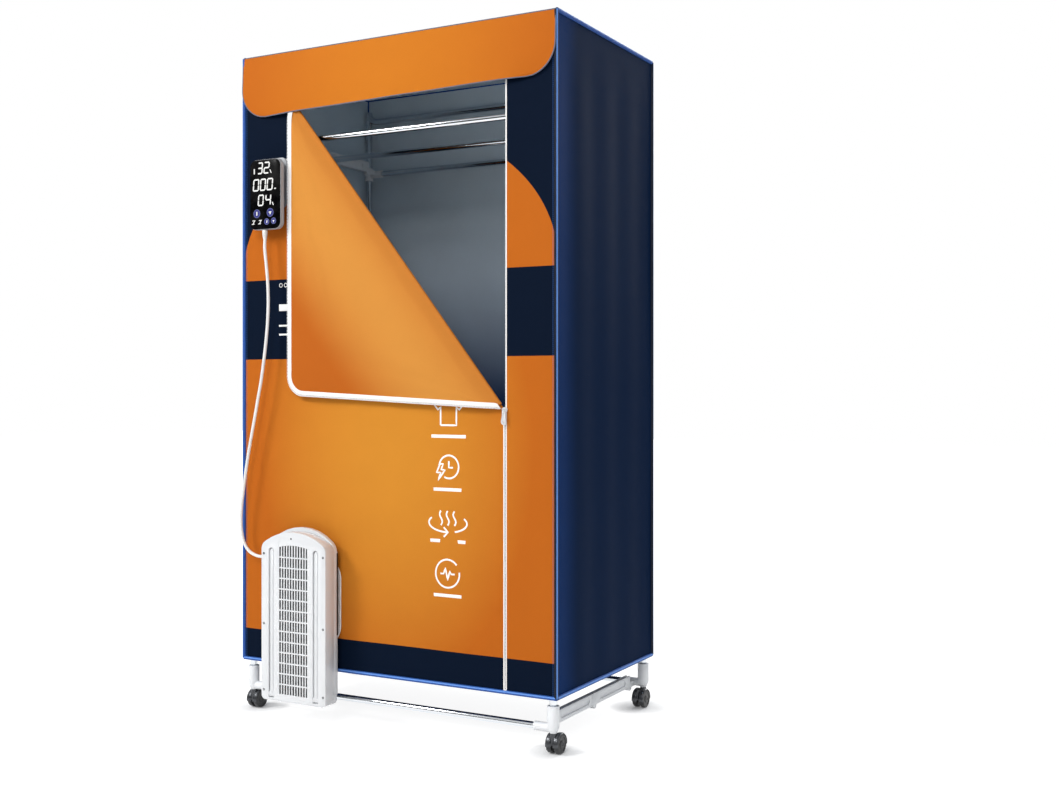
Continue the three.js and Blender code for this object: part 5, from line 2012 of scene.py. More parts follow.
def tooth_row(
    name: str, path: Sequence[Vector], pitch: float, width: float, length: float, depth: float
) -> bpy.types.Object:
    """Copy one softened tooth along a line.

    Args:
        name: The piece's name.
        path: The line.
        pitch: From one tooth to the next.
        width: A tooth's size across the line.
        length: Its size along the line.
        depth: Its size outwards.

    Returns:
        The row.
    """
    tooth = box((-width / 2, -depth / 2, -length / 2), (width / 2, depth / 2, length / 2))
    edit_select(tooth, "FACE", lambda face: face.normal.y < -0.9)
    bpy.ops.mesh.inset(thickness=length * 0.22)
    bpy.ops.mesh.extrude_region_move(TRANSFORM_OT_translate={"value": (0.0, -depth * 0.2, 0.0)})
    leave_edit()
    base = [vertex.co.copy() for vertex in tooth.data.vertices]
    faces = [tuple(polygon.vertices) for polygon in tooth.data.polygons]
    bpy.data.objects.remove(tooth, do_unlink=True)
    points: list[Vector] = []
    cells: list[tuple[int, ...]] = []
    travelled, due = 0.0, pitch / 2
    for a, b in zip(path, path[1:]):
        reach = (b - a).length
        ahead = (b - a) / reach
        while due < travelled + reach:
            spot = a + ahead * (due - travelled)
            out = Vector(FRONTWARD)
            out = (out - ahead * out.dot(ahead)).normalized()
            side = ahead.cross(out)
            start = len(points)
            points.extend(spot + side * p.x - out * p.y + ahead * p.z for p in base)
            cells.extend(tuple(start + k for k in face) for face in faces)
            due += pitch
        travelled += reach
    mesh = bpy.data.meshes.new(name)
    mesh.from_pydata(points, [], cells)
    made = bpy.data.objects.new(name, mesh)
    bpy.context.scene.collection.objects.link(made)
    clean_normals(made, 0.0000001)
    return made


@dataclass
class ZipFastener:
    """The zip: tapes and teeth below the slider, the right half above it, and the slider with its pull."""

    half_tape: float = 0.0034
    tape_depth: float = 0.0010
    pitch: float = 0.0028
    y: float = SIZES.front - 0.0002
    face_half: Pair = (0.0068, 0.0050)
    loop_rise: float = 0.0054
    pull_half: Pair = (0.0042, 0.0064)
    pull_depth: float = 0.0018
    pull_head: float = 0.0019
    slot_half: float = 0.00145
    slot_drop: float = 0.0040
    eye: float = 0.0022
    pin_radius: float = 0.001
    pin_half: float = 0.0031
    cutter_reach: float = 0.01
    tape_aside: float = 0.0026
    tape_back: float = 0.0018
    tape_foot: float = 0.0005
    tooth_aside: float = 0.0016
    tooth_back: float = 0.0004
    tooth_foot: float = 0.007
    tooth_size: Point = (0.0018, 0.0013, 0.0010)
    slider_lap: float = 0.001
    slider_room: float = 0.016
    top_room: float = 0.004
    stop_half: float = 0.0028

    def _waisted(self, low: float, high: float, half: Pair, bow: bool) -> list[Pair]:
        """Draw a tab with rounded ends that is narrower at one end.

        Args:
            low: Z of its lower end.
            high: Z of its upper end.
            half: Half its width at the upper and the lower end.
            bow: Whether it stays narrow until the lower end's round.

        Returns:
            The outline.
        """
        upper, lower = half
        top, bottom = high - 0.5 * upper, low + lower
        right: list[Pair] = []
        for k in range(9):
            turn = math.pi / 2 * (k / 8 - 1)
            right.append((lower * math.cos(turn), bottom + lower * math.sin(turn)))
        for k in range(1, 8):
            share = k / 8
            eased = smooth_step(min(share * 1.6, 1.0)) if bow else share
            right.append((lower + (upper - lower) * eased, bottom + (top - bottom) * share))
        for k in range(9):
            turn = math.pi / 2 * k / 8
            right.append((upper * math.cos(turn), top + 0.5 * upper * math.sin(turn)))
        left = [(-x, z) for x, z in reversed(right[1:-1])]
        return [(SIZES.zip_x + x, z) for x, z in right + left]

    def _slider(self, bench: Bench) -> None:
        """Build the slider with its wide face.

        Args:
            bench: The bench.
        """
        low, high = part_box("zip_slider")
        front = low.y + self.loop_rise
        face = plate(
            self._waisted(low.z, high.z + 0.0008, self.face_half, False), front - 0.0002, front + 0.0016
        )
        soften(face, 0.0005, 3)
        body = frame["nodes"]["zip_slider"]["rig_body"]
        bench.finish(face, "zip_slider_face", Finish.SLIDER, body, "slider_metal")
        bench.refine("zip_slider", Finish.SLIDER, "slider_metal", 0.0005, 3)

    def _pull(self, bench: Bench) -> None:
        """Build the pull: a waisted tab with a slot for the slider's loop, a pin and a round eye.

        Args:
            bench: The bench.
        """
        x = SIZES.zip_x
        low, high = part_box("zip_pull")
        y, z = (low.y + high.y) / 2, high.z - self.pull_head
        half = self.pull_depth / 2
        pull = plate(self._waisted(low.z, high.z, self.pull_half, True), y - half, y + half)
        slot = box(
            (x - self.slot_half, y - self.cutter_reach, z - self.slot_drop),
            (x + self.slot_half, y + self.cutter_reach, high.z + 0.001),
        )
        unite(pull, slot, "DIFFERENCE")
        through = (y - self.cutter_reach, y + self.cutter_reach)
        eye = rod("Y", self.eye, through, (x, 0.0, low.z + self.pull_half[1]), 28)
        unite(pull, eye, "DIFFERENCE")
        pin = rod("X", self.pin_radius, (x - self.pin_half, x + self.pin_half), (0.0, y, z), 20)
        unite(pull, pin, "UNION")
        soften(pull, 0.0004, 3, 50.0)
        body = frame["nodes"]["zip_pull"]["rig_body"]
        bench.finish(pull, "zip_pull_fine", Finish.SLIDER, body, "slider_metal", ["zip_pull"])

    def build(self, bench: Bench) -> None:
        """Build the zip.

        Args:
            bench: The bench.
        """
        s = SIZES
        tapes = []
        profile = strip_profile(self.half_tape, self.tape_depth + 0.0006)
        for sign, top in ((-1, s.slider_z - self.slider_lap), (1, s.zip_top)):
            x, y = s.zip_x + sign * self.tape_aside, self.y + self.tape_back
            path = line([(x, y, s.hem + self.tape_foot), (x, y, top)], 0.03)
            tapes.append(sweep("tape", path, profile, FRONTWARD))
        tape = combine(*tapes)
        bench.finish(tape, "zip_tape", Finish.ZIP_TAPE, "front_frame", "white_tape", ["zip_chain"], 50.0)
        rows = []
        left_top, right_top = s.slider_z - self.slider_room, s.zip_top - self.top_room
        for sign, top, shift in ((-1, left_top, 0.0), (1, right_top, self.pitch / 2)):
            x, y = s.zip_x + sign * self.tooth_aside, self.y + self.tooth_back
            path = [Vector((x, y, s.hem + self.tooth_foot + shift)), Vector((x, y, top))]
            rows.append(tooth_row("teeth", path, self.pitch, *self.tooth_size))
        stop = box(
            (s.zip_x - self.stop_half, self.y - 0.0006, s.hem + 0.001),
            (s.zip_x + self.stop_half, self.y + 0.001, s.hem + 0.006),
        )
        soften(stop, 0.0004)
        teeth = combine(rows[0], rows[1], stop)
        bench.finish(teeth, "zip_teeth", Finish.TEETH, "front_frame", "white_tape", angle=30.0)
        self._slider(bench)
        self._pull(bench)


@dataclass
class Bindings:
    """The white bindings of the port and the window, and the blue piping of the cover's edges with dark
    strips of painted shade beside it.
    """

    piping_shade_radius: float = 0.0042
    piping_radius: float = 0.0025
    proud: float = 0.0019
    port_rim: float = 0.010
    window_rim: float = 0.006

    def _ring(self, low: Pair, high: Pair, corner: float, rim: float, name: str) -> bpy.types.Object:
        """Sew a binding round an opening.

        Args:
            low: The opening's lowest corner.
            high: Its highest corner.
            corner: Its corner radius.
            rim: The binding's width.
            name: The piece's name.

        Returns:
            The binding.
        """
        half = rim / 2
        outline = rounded_outline(
            (low[0] - half, low[1] - half), (high[0] + half, high[1] + half), corner + half, 12
        )
        path = line([(x, SIZES.front - 0.0003, z) for x, z in outline], 0.012)
        return sweep(name, path, strip_profile(rim, 0.0016), FRONTWARD, closed=True)

    def _pipe(
        self,
        name: str,
        ends: tuple[Point, Point],
        away: Point,
        body: str,
        bench: Bench,
        squash: bool = False,
    ) -> None:
        """Run a dark blue strip along an edge, with the lighter piping proud of it; the strip is painted
        shade beside the piping, darker navy on the right uprights.

        Args:
            name: The edge's name.
            ends: The ends of its run.
            away: The direction in which the piping stands out.
            body: The body that it rides on.
            bench: The bench.
            squash: Whether it gets a mesh of its own; these are the runs that gather when the frame folds.
        """
        step = Vector(away).normalized() * self.proud
        proud = [tuple(Vector(end) + step) for end in ends]
        # The right uprights take the darker navy copy of the strip: painted shade on the side away from the
        # light.
        base = Finish.SEAM if ends[0][:2] == ends[1][:2] and ends[0][0] > 0 else Finish.PIPING_SHADE
        parts = (
            ("piping_shade", ends, self.piping_shade_radius, base), ("piping", proud, self.piping_radius, Finish.PIPING)
        )
        for part, run, radius, finish in parts:
            piece = sweep(part, line(run, 0.03), circle(radius, 12), None)
            bench.finish(piece, f"{part}_{name}", finish, body, "navy_cloth", angle=60.0)
            if squash:
                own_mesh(piece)

    def build(self, bench: Bench) -> None:
        """Build the bindings and the piping.

        Args:
            bench: The bench.
        """
        s = SIZES
        low = (s.host_x - s.port_half[0], s.port_z - s.port_half[1])
        high = (s.host_x + s.port_half[0], s.port_z + s.port_half[1])
        port = self._ring(low, high, s.port_corner, self.port_rim, "port_binding")
        bench.finish(port, "port_binding", Finish.BINDING, "front_frame", "white_tape", ["port_frame"], 50.0)
        window = self._ring(s.window_low, s.window_high, s.window_corner, self.window_rim, "window_binding")
        bench.finish(
            window, "window_binding", Finish.BINDING, "front_frame", "white_tape", ["window_frame"], 50.0
        )
        edge, low_z, high_z = s.half_width - 0.0004, s.hem + 0.0004, s.top - 0.0004
        ends = (
            ("front", s.front + 0.0006, -0.7, "front_frame"), ("rear", s.rear - 0.0006, 0.7, "rear_frame")
        )
        for name, y, turn, body in ends:
            for sign, side in ((-1, "left"), (1, "right")):
                upright = ((sign * edge, y, low_z), (sign * edge, y, high_z))
                self._pipe(f"{name}_{side}", upright, (sign, turn, 0.0), body, bench)
            self._pipe(f"{name}_hem", ((-edge, y, low_z), (edge, y, low_z)), (0.0, turn, 0.25), body, bench)
        y = s.rear - 0.0006
        self._pipe("rear_top", ((-edge, y, high_z), (edge, y, high_z)), (0.0, 0.7, 1.0), "rear_frame", bench)
        for sign, side in ((-1, "left"), (1, "right")):
            for level, z, turn in (("top", high_z, 1.0), ("hem", low_z, 0.3)):
                run = ((sign * edge, s.front + 0.0023, z), (sign * edge, s.rear - 0.0023, z))
                self._pipe(f"{side}_{level}", run, (sign, 0.0, turn), "front_frame", bench, True)


@dataclass(frozen=True)
class Mark:
    """A printed pictogram and the plain bar under it: places and sizes on the front."""

    middle: Pair
    scale: float
    bar_z: float
    bar_half: float


@dataclass
class PrintArt:
    """The plain pictograms and bars printed on the front."""

    shirt: Mark = Mark((0.1490, 0.6810), 0.0333, 0.6280, 0.042)
    clock: Mark = Mark((0.1467, 0.5650), 0.0290, 0.5180, 0.034)
    turn: Mark = Mark((0.1476, 0.4490), 0.0415, 0.4115, 0.043)
    pulse: Mark = Mark((0.1470, 0.3445), 0.0316, 0.2990, 0.034)
    stroke: float = 0.0037
    bar_height: float = 0.0068
    block_x: float = -0.2985
    lift: float = 0.00012

    @staticmethod
    def _round(reach: Pair, middle: Pair, start: int, stop: int) -> list[Pair]:
        """Draw part of an ellipse."""
        turns = [math.radians(start + (stop - start) * k / 40) for k in range(41)]
        return [(middle[0] + reach[0] * math.cos(a), middle[1] + reach[1] * math.sin(a)) for a in turns]

    @staticmethod
    def _shirt() -> list[list[Pair]]:
        """Draw a shirt."""
        right = [
            (0.2, 0.68), (0.36, 0.92), (0.62, 0.80), (1.05, 0.36), (0.78, 0.06), (0.58, 0.24), (0.58, -0.9)
        ]
        left = [(-x, z) for x, z in reversed(right)]
        return [[*left, (0.0, 0.62), *right, left[0]]]

    def _clock(self) -> list[list[Pair]]:
        """Draw a clock with an open side and a spark."""
        hands = [(0.12, 0.42), (0.12, -0.05), (0.46, -0.05)]
        spark = [
            (-0.62, 0.20), (-0.92, -0.42), (-0.56, -0.42), (-0.80, -0.98), (-0.20, -0.22), (-0.54, -0.22)
        ]
        return [self._round((0.82, 0.82), (0.12, 0.0), -118, 174), hands, [*spark, (-0.36, 0.20), spark[0]]]

    def _turn(self) -> list[list[Pair]]:
        """Draw two arrows' arcs that go round three rising lines."""
        first = self._round((1.12, 0.46), (0.0, 0.0), 148, 268)
        second = self._round((1.12, 0.46), (0.0, 0.0), 292, 392)
        tip = first[-1]
        head = [(tip[0] - 0.20, tip[1] + 0.24), (tip[0] + 0.06, tip[1]), (tip[0] - 0.20, tip[1] - 0.24)]
        steps = [k * 0.09 for k in range(9)]
        waves = [[(x + 0.08 * math.sin(8.6 * z), z - 0.12) for z in steps] for x in (-0.40, 0.0, 0.40)]
        return [first, second, head, *waves]

    def _pulse(self) -> list[list[Pair]]:
        """Draw a pulse in an open ring."""
        pulse = [
            (-0.55, -0.02),
            (-0.30, -0.02),
            (-0.16, 0.36),
            (0.02, -0.42),
            (0.18, 0.18),
            (0.28, -0.02),
            (0.56, -0.02),
        ]
        return [self._round((0.92, 0.92), (0.0, 0.0), 40, 368), pulse]

    def _lay(
        self, skin: Skin, strokes: Iterable[Sequence[Pair]], middle: Pair, scale: float, width: float
    ) -> list:
        """Print strokes on the cloth.

        Args:
            skin: The cloth's surface.
            strokes: The strokes about their middle.
            middle: Where they are printed, in X and Z.
            scale: Their scale.
            width: The stroke's width.

        Returns:
            The printed pieces.
        """
        pieces = []
        for stroke in strokes:
            places = [(middle[0] + x * scale, middle[1] + z * scale) for x, z in stroke]
            path = [skin.lay(x, z, self.lift, SIZES.front) for x, z in places]
            filled = line([tuple(p) for p in path], 0.008)
            pieces.append(sweep("ink", filled, strip_profile(width, 0.00012), FRONTWARD))
        return pieces

    def build(self, bench: Bench, panel: bpy.types.Object) -> None:
        """Print the front.

        Args:
            bench: The bench.
            panel: The printed cloth.
        """
        skin = Skin(panel)
        drawings = ((self.shirt, self._shirt()), (self.clock, self._clock()), (self.turn, self._turn()))
        pieces = []
        for mark, drawing in (*drawings, (self.pulse, self._pulse())):
            pieces += self._lay(skin, drawing, mark.middle, mark.scale, self.stroke)
            bar = [(-mark.bar_half, 0.0), (mark.bar_half, 0.0)]
            pieces += self._lay(skin, [bar], (mark.middle[0], mark.bar_z), 1.0, self.bar_height)
        for k in range(3):
            ring = self._round((0.0042, 0.0042), (0.005 + 0.0135 * k, 0.0), 0, 360)
            pieces += self._lay(skin, [ring], (self.block_x, 0.957), 1.0, 0.0014)
        for z, reach, width in ((0.907, 0.20, 0.0150), (0.8667, 0.09, 0.0042), (0.847, 0.17, 0.0042)):
            pieces += self._lay(skin, [[(0.0, 0.0), (reach, 0.0)]], (self.block_x, z), 1.0, width)
        bench.finish(
            combine(*pieces), "front_pictograms", Finish.INK, "front_frame", "white_tape", angle=50.0
        )


# ------------------------------------------------------------------ frame


@dataclass
class TubeFrame:
    """Posts and rails of plated tube."""

    post_radius: float = 0.008
    rail_radius: float = 0.007
    wall: float = 0.0009
    shoulder: float = 0.3525
    bend: float = 0.026
    pin_radius: float = 0.0035

    def _straight(self, node: str, axis: str, radius: float, bench: Bench) -> None:
        """Draw a straight tube in the place of its node.

        Args:
            node: The node.
            axis: Its axis.
            radius: Its radius.
            bench: The bench.
        """
        low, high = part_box(node)
        index = "XYZ".index(axis)
        tube = rod(axis, radius, (low[index], high[index]), tuple((low + high) / 2), 32)
        for sign in (-1, 1):
            hollow_end(tube, axis, sign, self.wall, 0.02)
        soften(tube, 0.0003, 2, 50.0)
        body = frame["nodes"][node]["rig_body"]
        bench.finish(tube, node + "_tube", Finish.CHROME, body, "tube_chrome", [node])

    def _bent(self, node: str, bench: Bench) -> None:
        """Bend a top rail: up, across and down.

        Args:
            node: The node.
            bench: The bench.
        """
        low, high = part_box(node)
        y = (low.y + high.y) / 2
        r = self.post_radius
        left, right, top = low.x + r, high.x - r, high.z - r
        bend_start = top - self.bend
        leg_bottom = low.z + 0.030
        spigot = r - self.wall - 0.0004
        clear_selection()
        bpy.ops.mesh.primitive_circle_add(
            vertices=32, radius=spigot, fill_type="NGON", location=(left, y, low.z)
        )
        rail = bpy.context.active_object
        bpy.ops.object.mode_set(mode="EDIT")
        bpy.ops.mesh.select_all(action="SELECT")
        grow = r / spigot

        def push(x: float, z: float) -> None:
            """Extrude the open end by a step."""
            bpy.ops.mesh.extrude_region_move(TRANSFORM_OT_translate={"value": (x, 0.0, z)})

        push(0.0, leg_bottom - low.z)
        push(0.0, 0.0)
        bpy.ops.transform.resize(value=(grow, grow, 1.0), center_override=(left, y, leg_bottom))
        push(0.0, bend_start - leg_bottom)
        centre = (left + self.bend, y, bend_start)
        bpy.ops.mesh.spin(steps=10, angle=math.pi / 2, center=centre, axis=(0.0, 1.0, 0.0))
        push(right - left - 2 * self.bend, 0.0)
        centre = (right - self.bend, y, bend_start)
        bpy.ops.mesh.spin(steps=10, angle=math.pi / 2, center=centre, axis=(0.0, 1.0, 0.0))
        push(0.0, leg_bottom - bend_start)
        push(0.0, 0.0)
        bpy.ops.transform.resize(value=(1 / grow, 1 / grow, 1.0), center_override=(right, y, leg_bottom))
        push(0.0, low.z - leg_bottom)
        leave_edit()
        clean_normals(rail)
        body = frame["nodes"][node]["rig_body"]
        bench.finish(rail, node + "_tube", Finish.CHROME, body, "tube_chrome", [node])

    def _middle(self, node: str, body: str, bench: Bench) -> None:
        """Draw a middle rail with its two thin ends.

        Args:
            node: The node.
            body: The body that it rides on.
            bench: The bench.
        """
        low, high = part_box(node)
        centre = tuple((low + high) / 2)
        thick = self.shoulder
        rail = rod("X", self.rail_radius, (-thick, thick), centre, 32)
        soften(rail, 0.0005, 2, 50.0)
        for span in ((low.x, -thick + 0.001), (thick - 0.001, high.x)):
            pin = rod("X", self.pin_radius, span, centre, 24)
            soften(pin, 0.0005, 2, 50.0)
            unite(rail, pin, "UNION")
        bench.finish(rail, node + "_tube", Finish.CHROME, body, "tube_chrome", [node])

    def build(self, bench: Bench) -> None:
        """Build every tube.

        Args:
            bench: The bench.
        """
        for end in ("front", "rear"):
            for side in ("left", "right"):
                self._straight(f"post_{end}_{side}", "Z", self.post_radius, bench)
            for level in ("base", "shelf"):
                self._straight(f"{level}_rail_{end}", "X", self.rail_radius, bench)
            self._bent(f"top_rail_{end}", bench)
        self._middle("hanging_rail", "shelf_front_links", bench)


@dataclass
class Brackets:
    """The white sockets, collars and folding links."""

    soft: float = 0.0009

    def build(self, bench: Bench) -> None:
        """Soften every moulded bracket.

        Args:
            bench: The bench.
        """
        for end in ("front", "rear"):
            for side in ("left", "right"):
                for kind in ("base_socket", "shelf_collar", "base_link", "shelf_link"):
                    bench.refine(f"{kind}_{end}_{side}", Finish.WHITE, "white_plastic", self.soft, 3)


@dataclass
class Caster:
    """One twin-wheel caster, modelled once at the front left and copied to the other posts."""

    wheel_radius: float = 0.019
    wheel_width: float = 0.011
    web: float = 0.005
    gap: float = 0.0006
    hood_radius: float = 0.023
    hood_gap: float = 0.001
    rim_drop: float = 0.0018
    valley: float = 0.0040
    shoulder: float = 0.0035
    crown: float = 0.0045
    skirt: float = 0.003
    trail: float = 0.012
    boss_radius: float = 0.007
    stem_radius: float = 0.004
    top: float = 0.0425
    axle_radius: float = 0.003

    def _wheels(self, x: float, y: float) -> bpy.types.Object:
        """Shape the two wheels with their hubs, rims and treads.

        Args:
            x: X of the caster.
            y: Y of the axle.

        Returns:
            The pair.
        """
        r = self.wheel_radius
        wheels = []
        for sign in (-1, 1):
            near = x + sign * (self.web / 2 + self.gap)
            far = near + sign * self.wheel_width
            wheel = rod("X", r, (min(near, far), max(near, far)), (x, y, r), 48)
            soften(wheel, 0.0016, 3, 50.0)
            edit_select(wheel, "FACE", lambda face, s=sign: face.normal.x * s > 0.99 and face.area > 1e-4)
            steps = (
                (0.0022, 0.0),
                (0.0006, -0.0012),
                (0.0060, 0.0),
                (0.0008, 0.0014),
                (0.0034, 0.0006),
                (0.0010, -0.0010),
            )
            for inset, depth in steps:
                bpy.ops.mesh.inset(thickness=inset)
                if depth:
                    bpy.ops.transform.translate(value=(sign * depth, 0.0, 0.0))
            leave_edit()
            wheels.append(wheel)
        half = self.web / 2 + self.gap + 0.001
        axle = rod("X", self.axle_radius, (x - half, x + half), (x, y, r), 24)
        unite(wheels[0], axle, "UNION")
        unite(wheels[0], wheels[1], "UNION")
        return wheels[0]

    def _hood_radius(self, across: float) -> float:
        """Give the hood's radius: a crown over each wheel, a valley between them and rounded rims.

        Args:
            across: Distance along the axle from the middle.

        Returns:
            The radius.
        """
        edge = self.half - self.shoulder
        inner = edge - self.crown
        away = abs(across)
        if away > edge:
            return self.hood_radius - self.rim_drop * ((away - edge) / self.shoulder) ** 2
        if away < inner:
            return self.hood_radius - self.valley * (0.5 + 0.5 * math.cos(math.pi * away / inner)) ** 1.4
        return self.hood_radius

    @property
    def half(self) -> float:
        """Half the span over both wheels."""
        return self.web / 2 + self.gap + self.wheel_width

    def _hood(self, x: float, post_y: float, y: float) -> bpy.types.Object:
        """Shape the hood, the web between the wheels, the boss and the stem.

        Args:
            x: X of the caster.
            post_y: Y of the stem.
            y: Y of the axle.

        Returns:
            The hood.
        """
        r = self.wheel_radius
        half = self.half
        spread = [half * (k / 20 - 1) for k in range(41)]
        hood = lathe([(a, self._hood_radius(a)) for a in spread], "X", (x, y, r), 72)
        boss = rod("Z", self.boss_radius, (r, self.top), (x, post_y, 0.0), 48)
        unite(hood, boss, "UNION")
        for sign in (-1, 1):
            inner = x + sign * self.web / 2
            outer = x + sign * (half + 0.004)
            bore = rod("X", r + self.hood_gap, (min(inner, outer), max(inner, outer)), (x, y, r), 64)
            unite(hood, bore, "DIFFERENCE")
        mouth = box((x - 0.03, y - r - self.hood_gap, -0.01), (x + 0.03, y + r + self.hood_gap, r))
        below = box((x - 0.03, y - 0.05, -0.01), (x + 0.03, y + 0.05, r - self.skirt))
        unite(hood, mouth, "DIFFERENCE")
        unite(hood, below, "DIFFERENCE")
        web = rod("X", r, (x - self.web / 2, x + self.web / 2), (x, y, r), 64)
        low = box((x - 0.03, y - 0.05, -0.01), (x + 0.03, y + 0.05, r))
        unite(web, low, "DIFFERENCE")
        keep = rod("X", self.axle_radius + 0.005, (x - self.web / 2, x + self.web / 2), (x, y, r), 32)
        unite(web, keep, "UNION")
        unite(hood, web, "UNION")
        bore = rod("X", self.axle_radius + 0.0003, (x - 0.02, x + 0.02), (x, y, r), 24)
        unite(hood, bore, "DIFFERENCE")
        stem = rod("Z", self.stem_radius, (self.top - 0.001, self.top + 0.012), (x, post_y, 0.0), 32)
        unite(hood, stem, "UNION")
        soften(hood, 0.0004, 2, 50.0)
        return hood

    def build(self, bench: Bench) -> None:
        """Build the four casters.

        Args:
            bench: The bench.
        """
        s = SIZES
        x, post_y = -s.post_x, s.front_post_y
        y = post_y + self.trail
        hood = self._hood(x, post_y, y)
        wheels = self._wheels(x, y)
        mirror = Matrix.Translation((0.0, s.rear_post_y, 0.0)) @ Matrix.Scale(-1.0, 4, (0.0, 1.0, 0.0))
        mirror = mirror @ Matrix.Translation((0.0, -s.front_post_y, 0.0))
        for end, place in (("front", Matrix.Identity(4)), ("rear", mirror)):
            for side, shift in (("right", 2 * s.post_x), ("left", 0.0)):
                move = Matrix.Translation((shift, 0.0, 0.0)) @ place
                name = f"{end}_{side}"
                copy = duplicate(hood, move)
                node = f"caster_fork_{name}"
                bench.finish(
                    copy, f"caster_hood_{name}", Finish.DARK, f"caster_{name}", "dark_plastic", [node]
                )
                copy = duplicate(wheels, move)
                node = f"caster_wheels_{name}"
                bench.finish(
                    copy, f"caster_pair_{name}", Finish.TREAD, f"wheels_{name}", "caster_tread", [node]
                )
        bpy.data.objects.remove(hood, do_unlink=True)
        bpy.data.objects.remove(wheels, do_unlink=True)


# ------------------------------------------------------------------ blower host


@dataclass
class BlowerHost:
    """The blower host: its two shells, stand legs, screws, motor, rotor and heater."""

    face: float = -0.2675
    half: float = 0.0875
    wall: float = 0.0025
    slot_shade_half: float = 0.042
    slot_shade_span: Pair = (0.060, 0.388)
    screw_x: tuple[float, float] = (-0.291, -0.129)
    screw_z: tuple[float, ...] = (0.366, 0.213, 0.068)
    screw_radius: float = 0.0026

    def _screws(self) -> bpy.types.Object:
        """Sink the six screws, each with a cross recess, and the small lamp over the grille.

        Returns:
            The screws.
        """
        heads = []
        for x in self.screw_x:
            for z in self.screw_z:
                head = rod("Y", self.screw_radius, (self.face - 0.0005, self.face + 0.0004), (x, 0.0, z), 20)
                soften(head, 0.0003, 2, 50.0)
                edit_select(head, "FACE", lambda face: face.normal.y < -0.9 and face.area > 8e-6)
                bpy.ops.mesh.inset(thickness=0.0009)
                bpy.ops.transform.translate(value=(0.0, 0.0005, 0.0))
                leave_edit()
                heads.append(head)
        lamp = rod("Y", 0.0021, (self.face - 0.0004, self.face + 0.0004), (-0.2155, 0.0, 0.4015), 20)
        soften(lamp, 0.0004, 2, 50.0)
        return combine(*heads, lamp)

    def _side_strips(self) -> bpy.types.Object:
        """Lay the dark recess strips in the side walls.

        Returns:
            The strips.
        """
        strips = []
        for sign in (-1, 1):
            x = SIZES.host_x + sign * self.half
            strip = box((x - 0.0004, -0.2285, 0.195), (x + 0.0004, -0.2240, 0.372))
            soften(strip, 0.0003, 2)
            strips.append(strip)
        return combine(*strips)

    def _slot_shade(self) -> bpy.types.Object:
        """Lay a dark sheet behind the grille so that its slots show black: painted shade in the slots.

        Returns:
            The sheet.
        """
        x, behind = SIZES.host_x, self.face + self.wall
        low, high = self.slot_shade_span
        sheet = box(
            (x - self.slot_shade_half, behind + 0.0006, low), (x + self.slot_shade_half, behind + 0.0016, high)
        )
        soften(sheet, 0.0003, 2)
        return sheet

    def build(self, bench: Bench) -> None:
        """Build the host.

        Args:
            bench: The bench.
        """
        bench.refine("host_front_cover", Finish.GLOSS_WHITE, "gloss_white", 0.0005, 2)
        bench.refine("host_rear_shell", Finish.GLOSS_WHITE, "gloss_white", 0.0012, 3)
        for side in ("left", "right"):
            bench.refine(f"stand_leg_{side}", Finish.GLOSS_WHITE, "gloss_white", 0.0022, 4, 30.0)
        bench.finish(self._screws(), "host_screws", Finish.BLACK, "front_frame", "black_plastic")
        bench.finish(self._side_strips(), "host_side_strips", Finish.BLACK, "front_frame", "black_plastic")
        # The dark sheet behind the grille is painted shade in its slots.
        bench.finish(self._slot_shade(), "host_slot_shade", Finish.FILTER, "front_frame", "black_plastic")
        bench.refine("fan_motor", Finish.BLACK, "black_plastic", 0.0008)
        bench.refine("fan_rotor", Finish.BLACK, "black_plastic", 0.0004)
        bench.refine("heater_core", Finish.FINS, "heater_fins", 0.0003)


# ------------------------------------------------------------------ controller


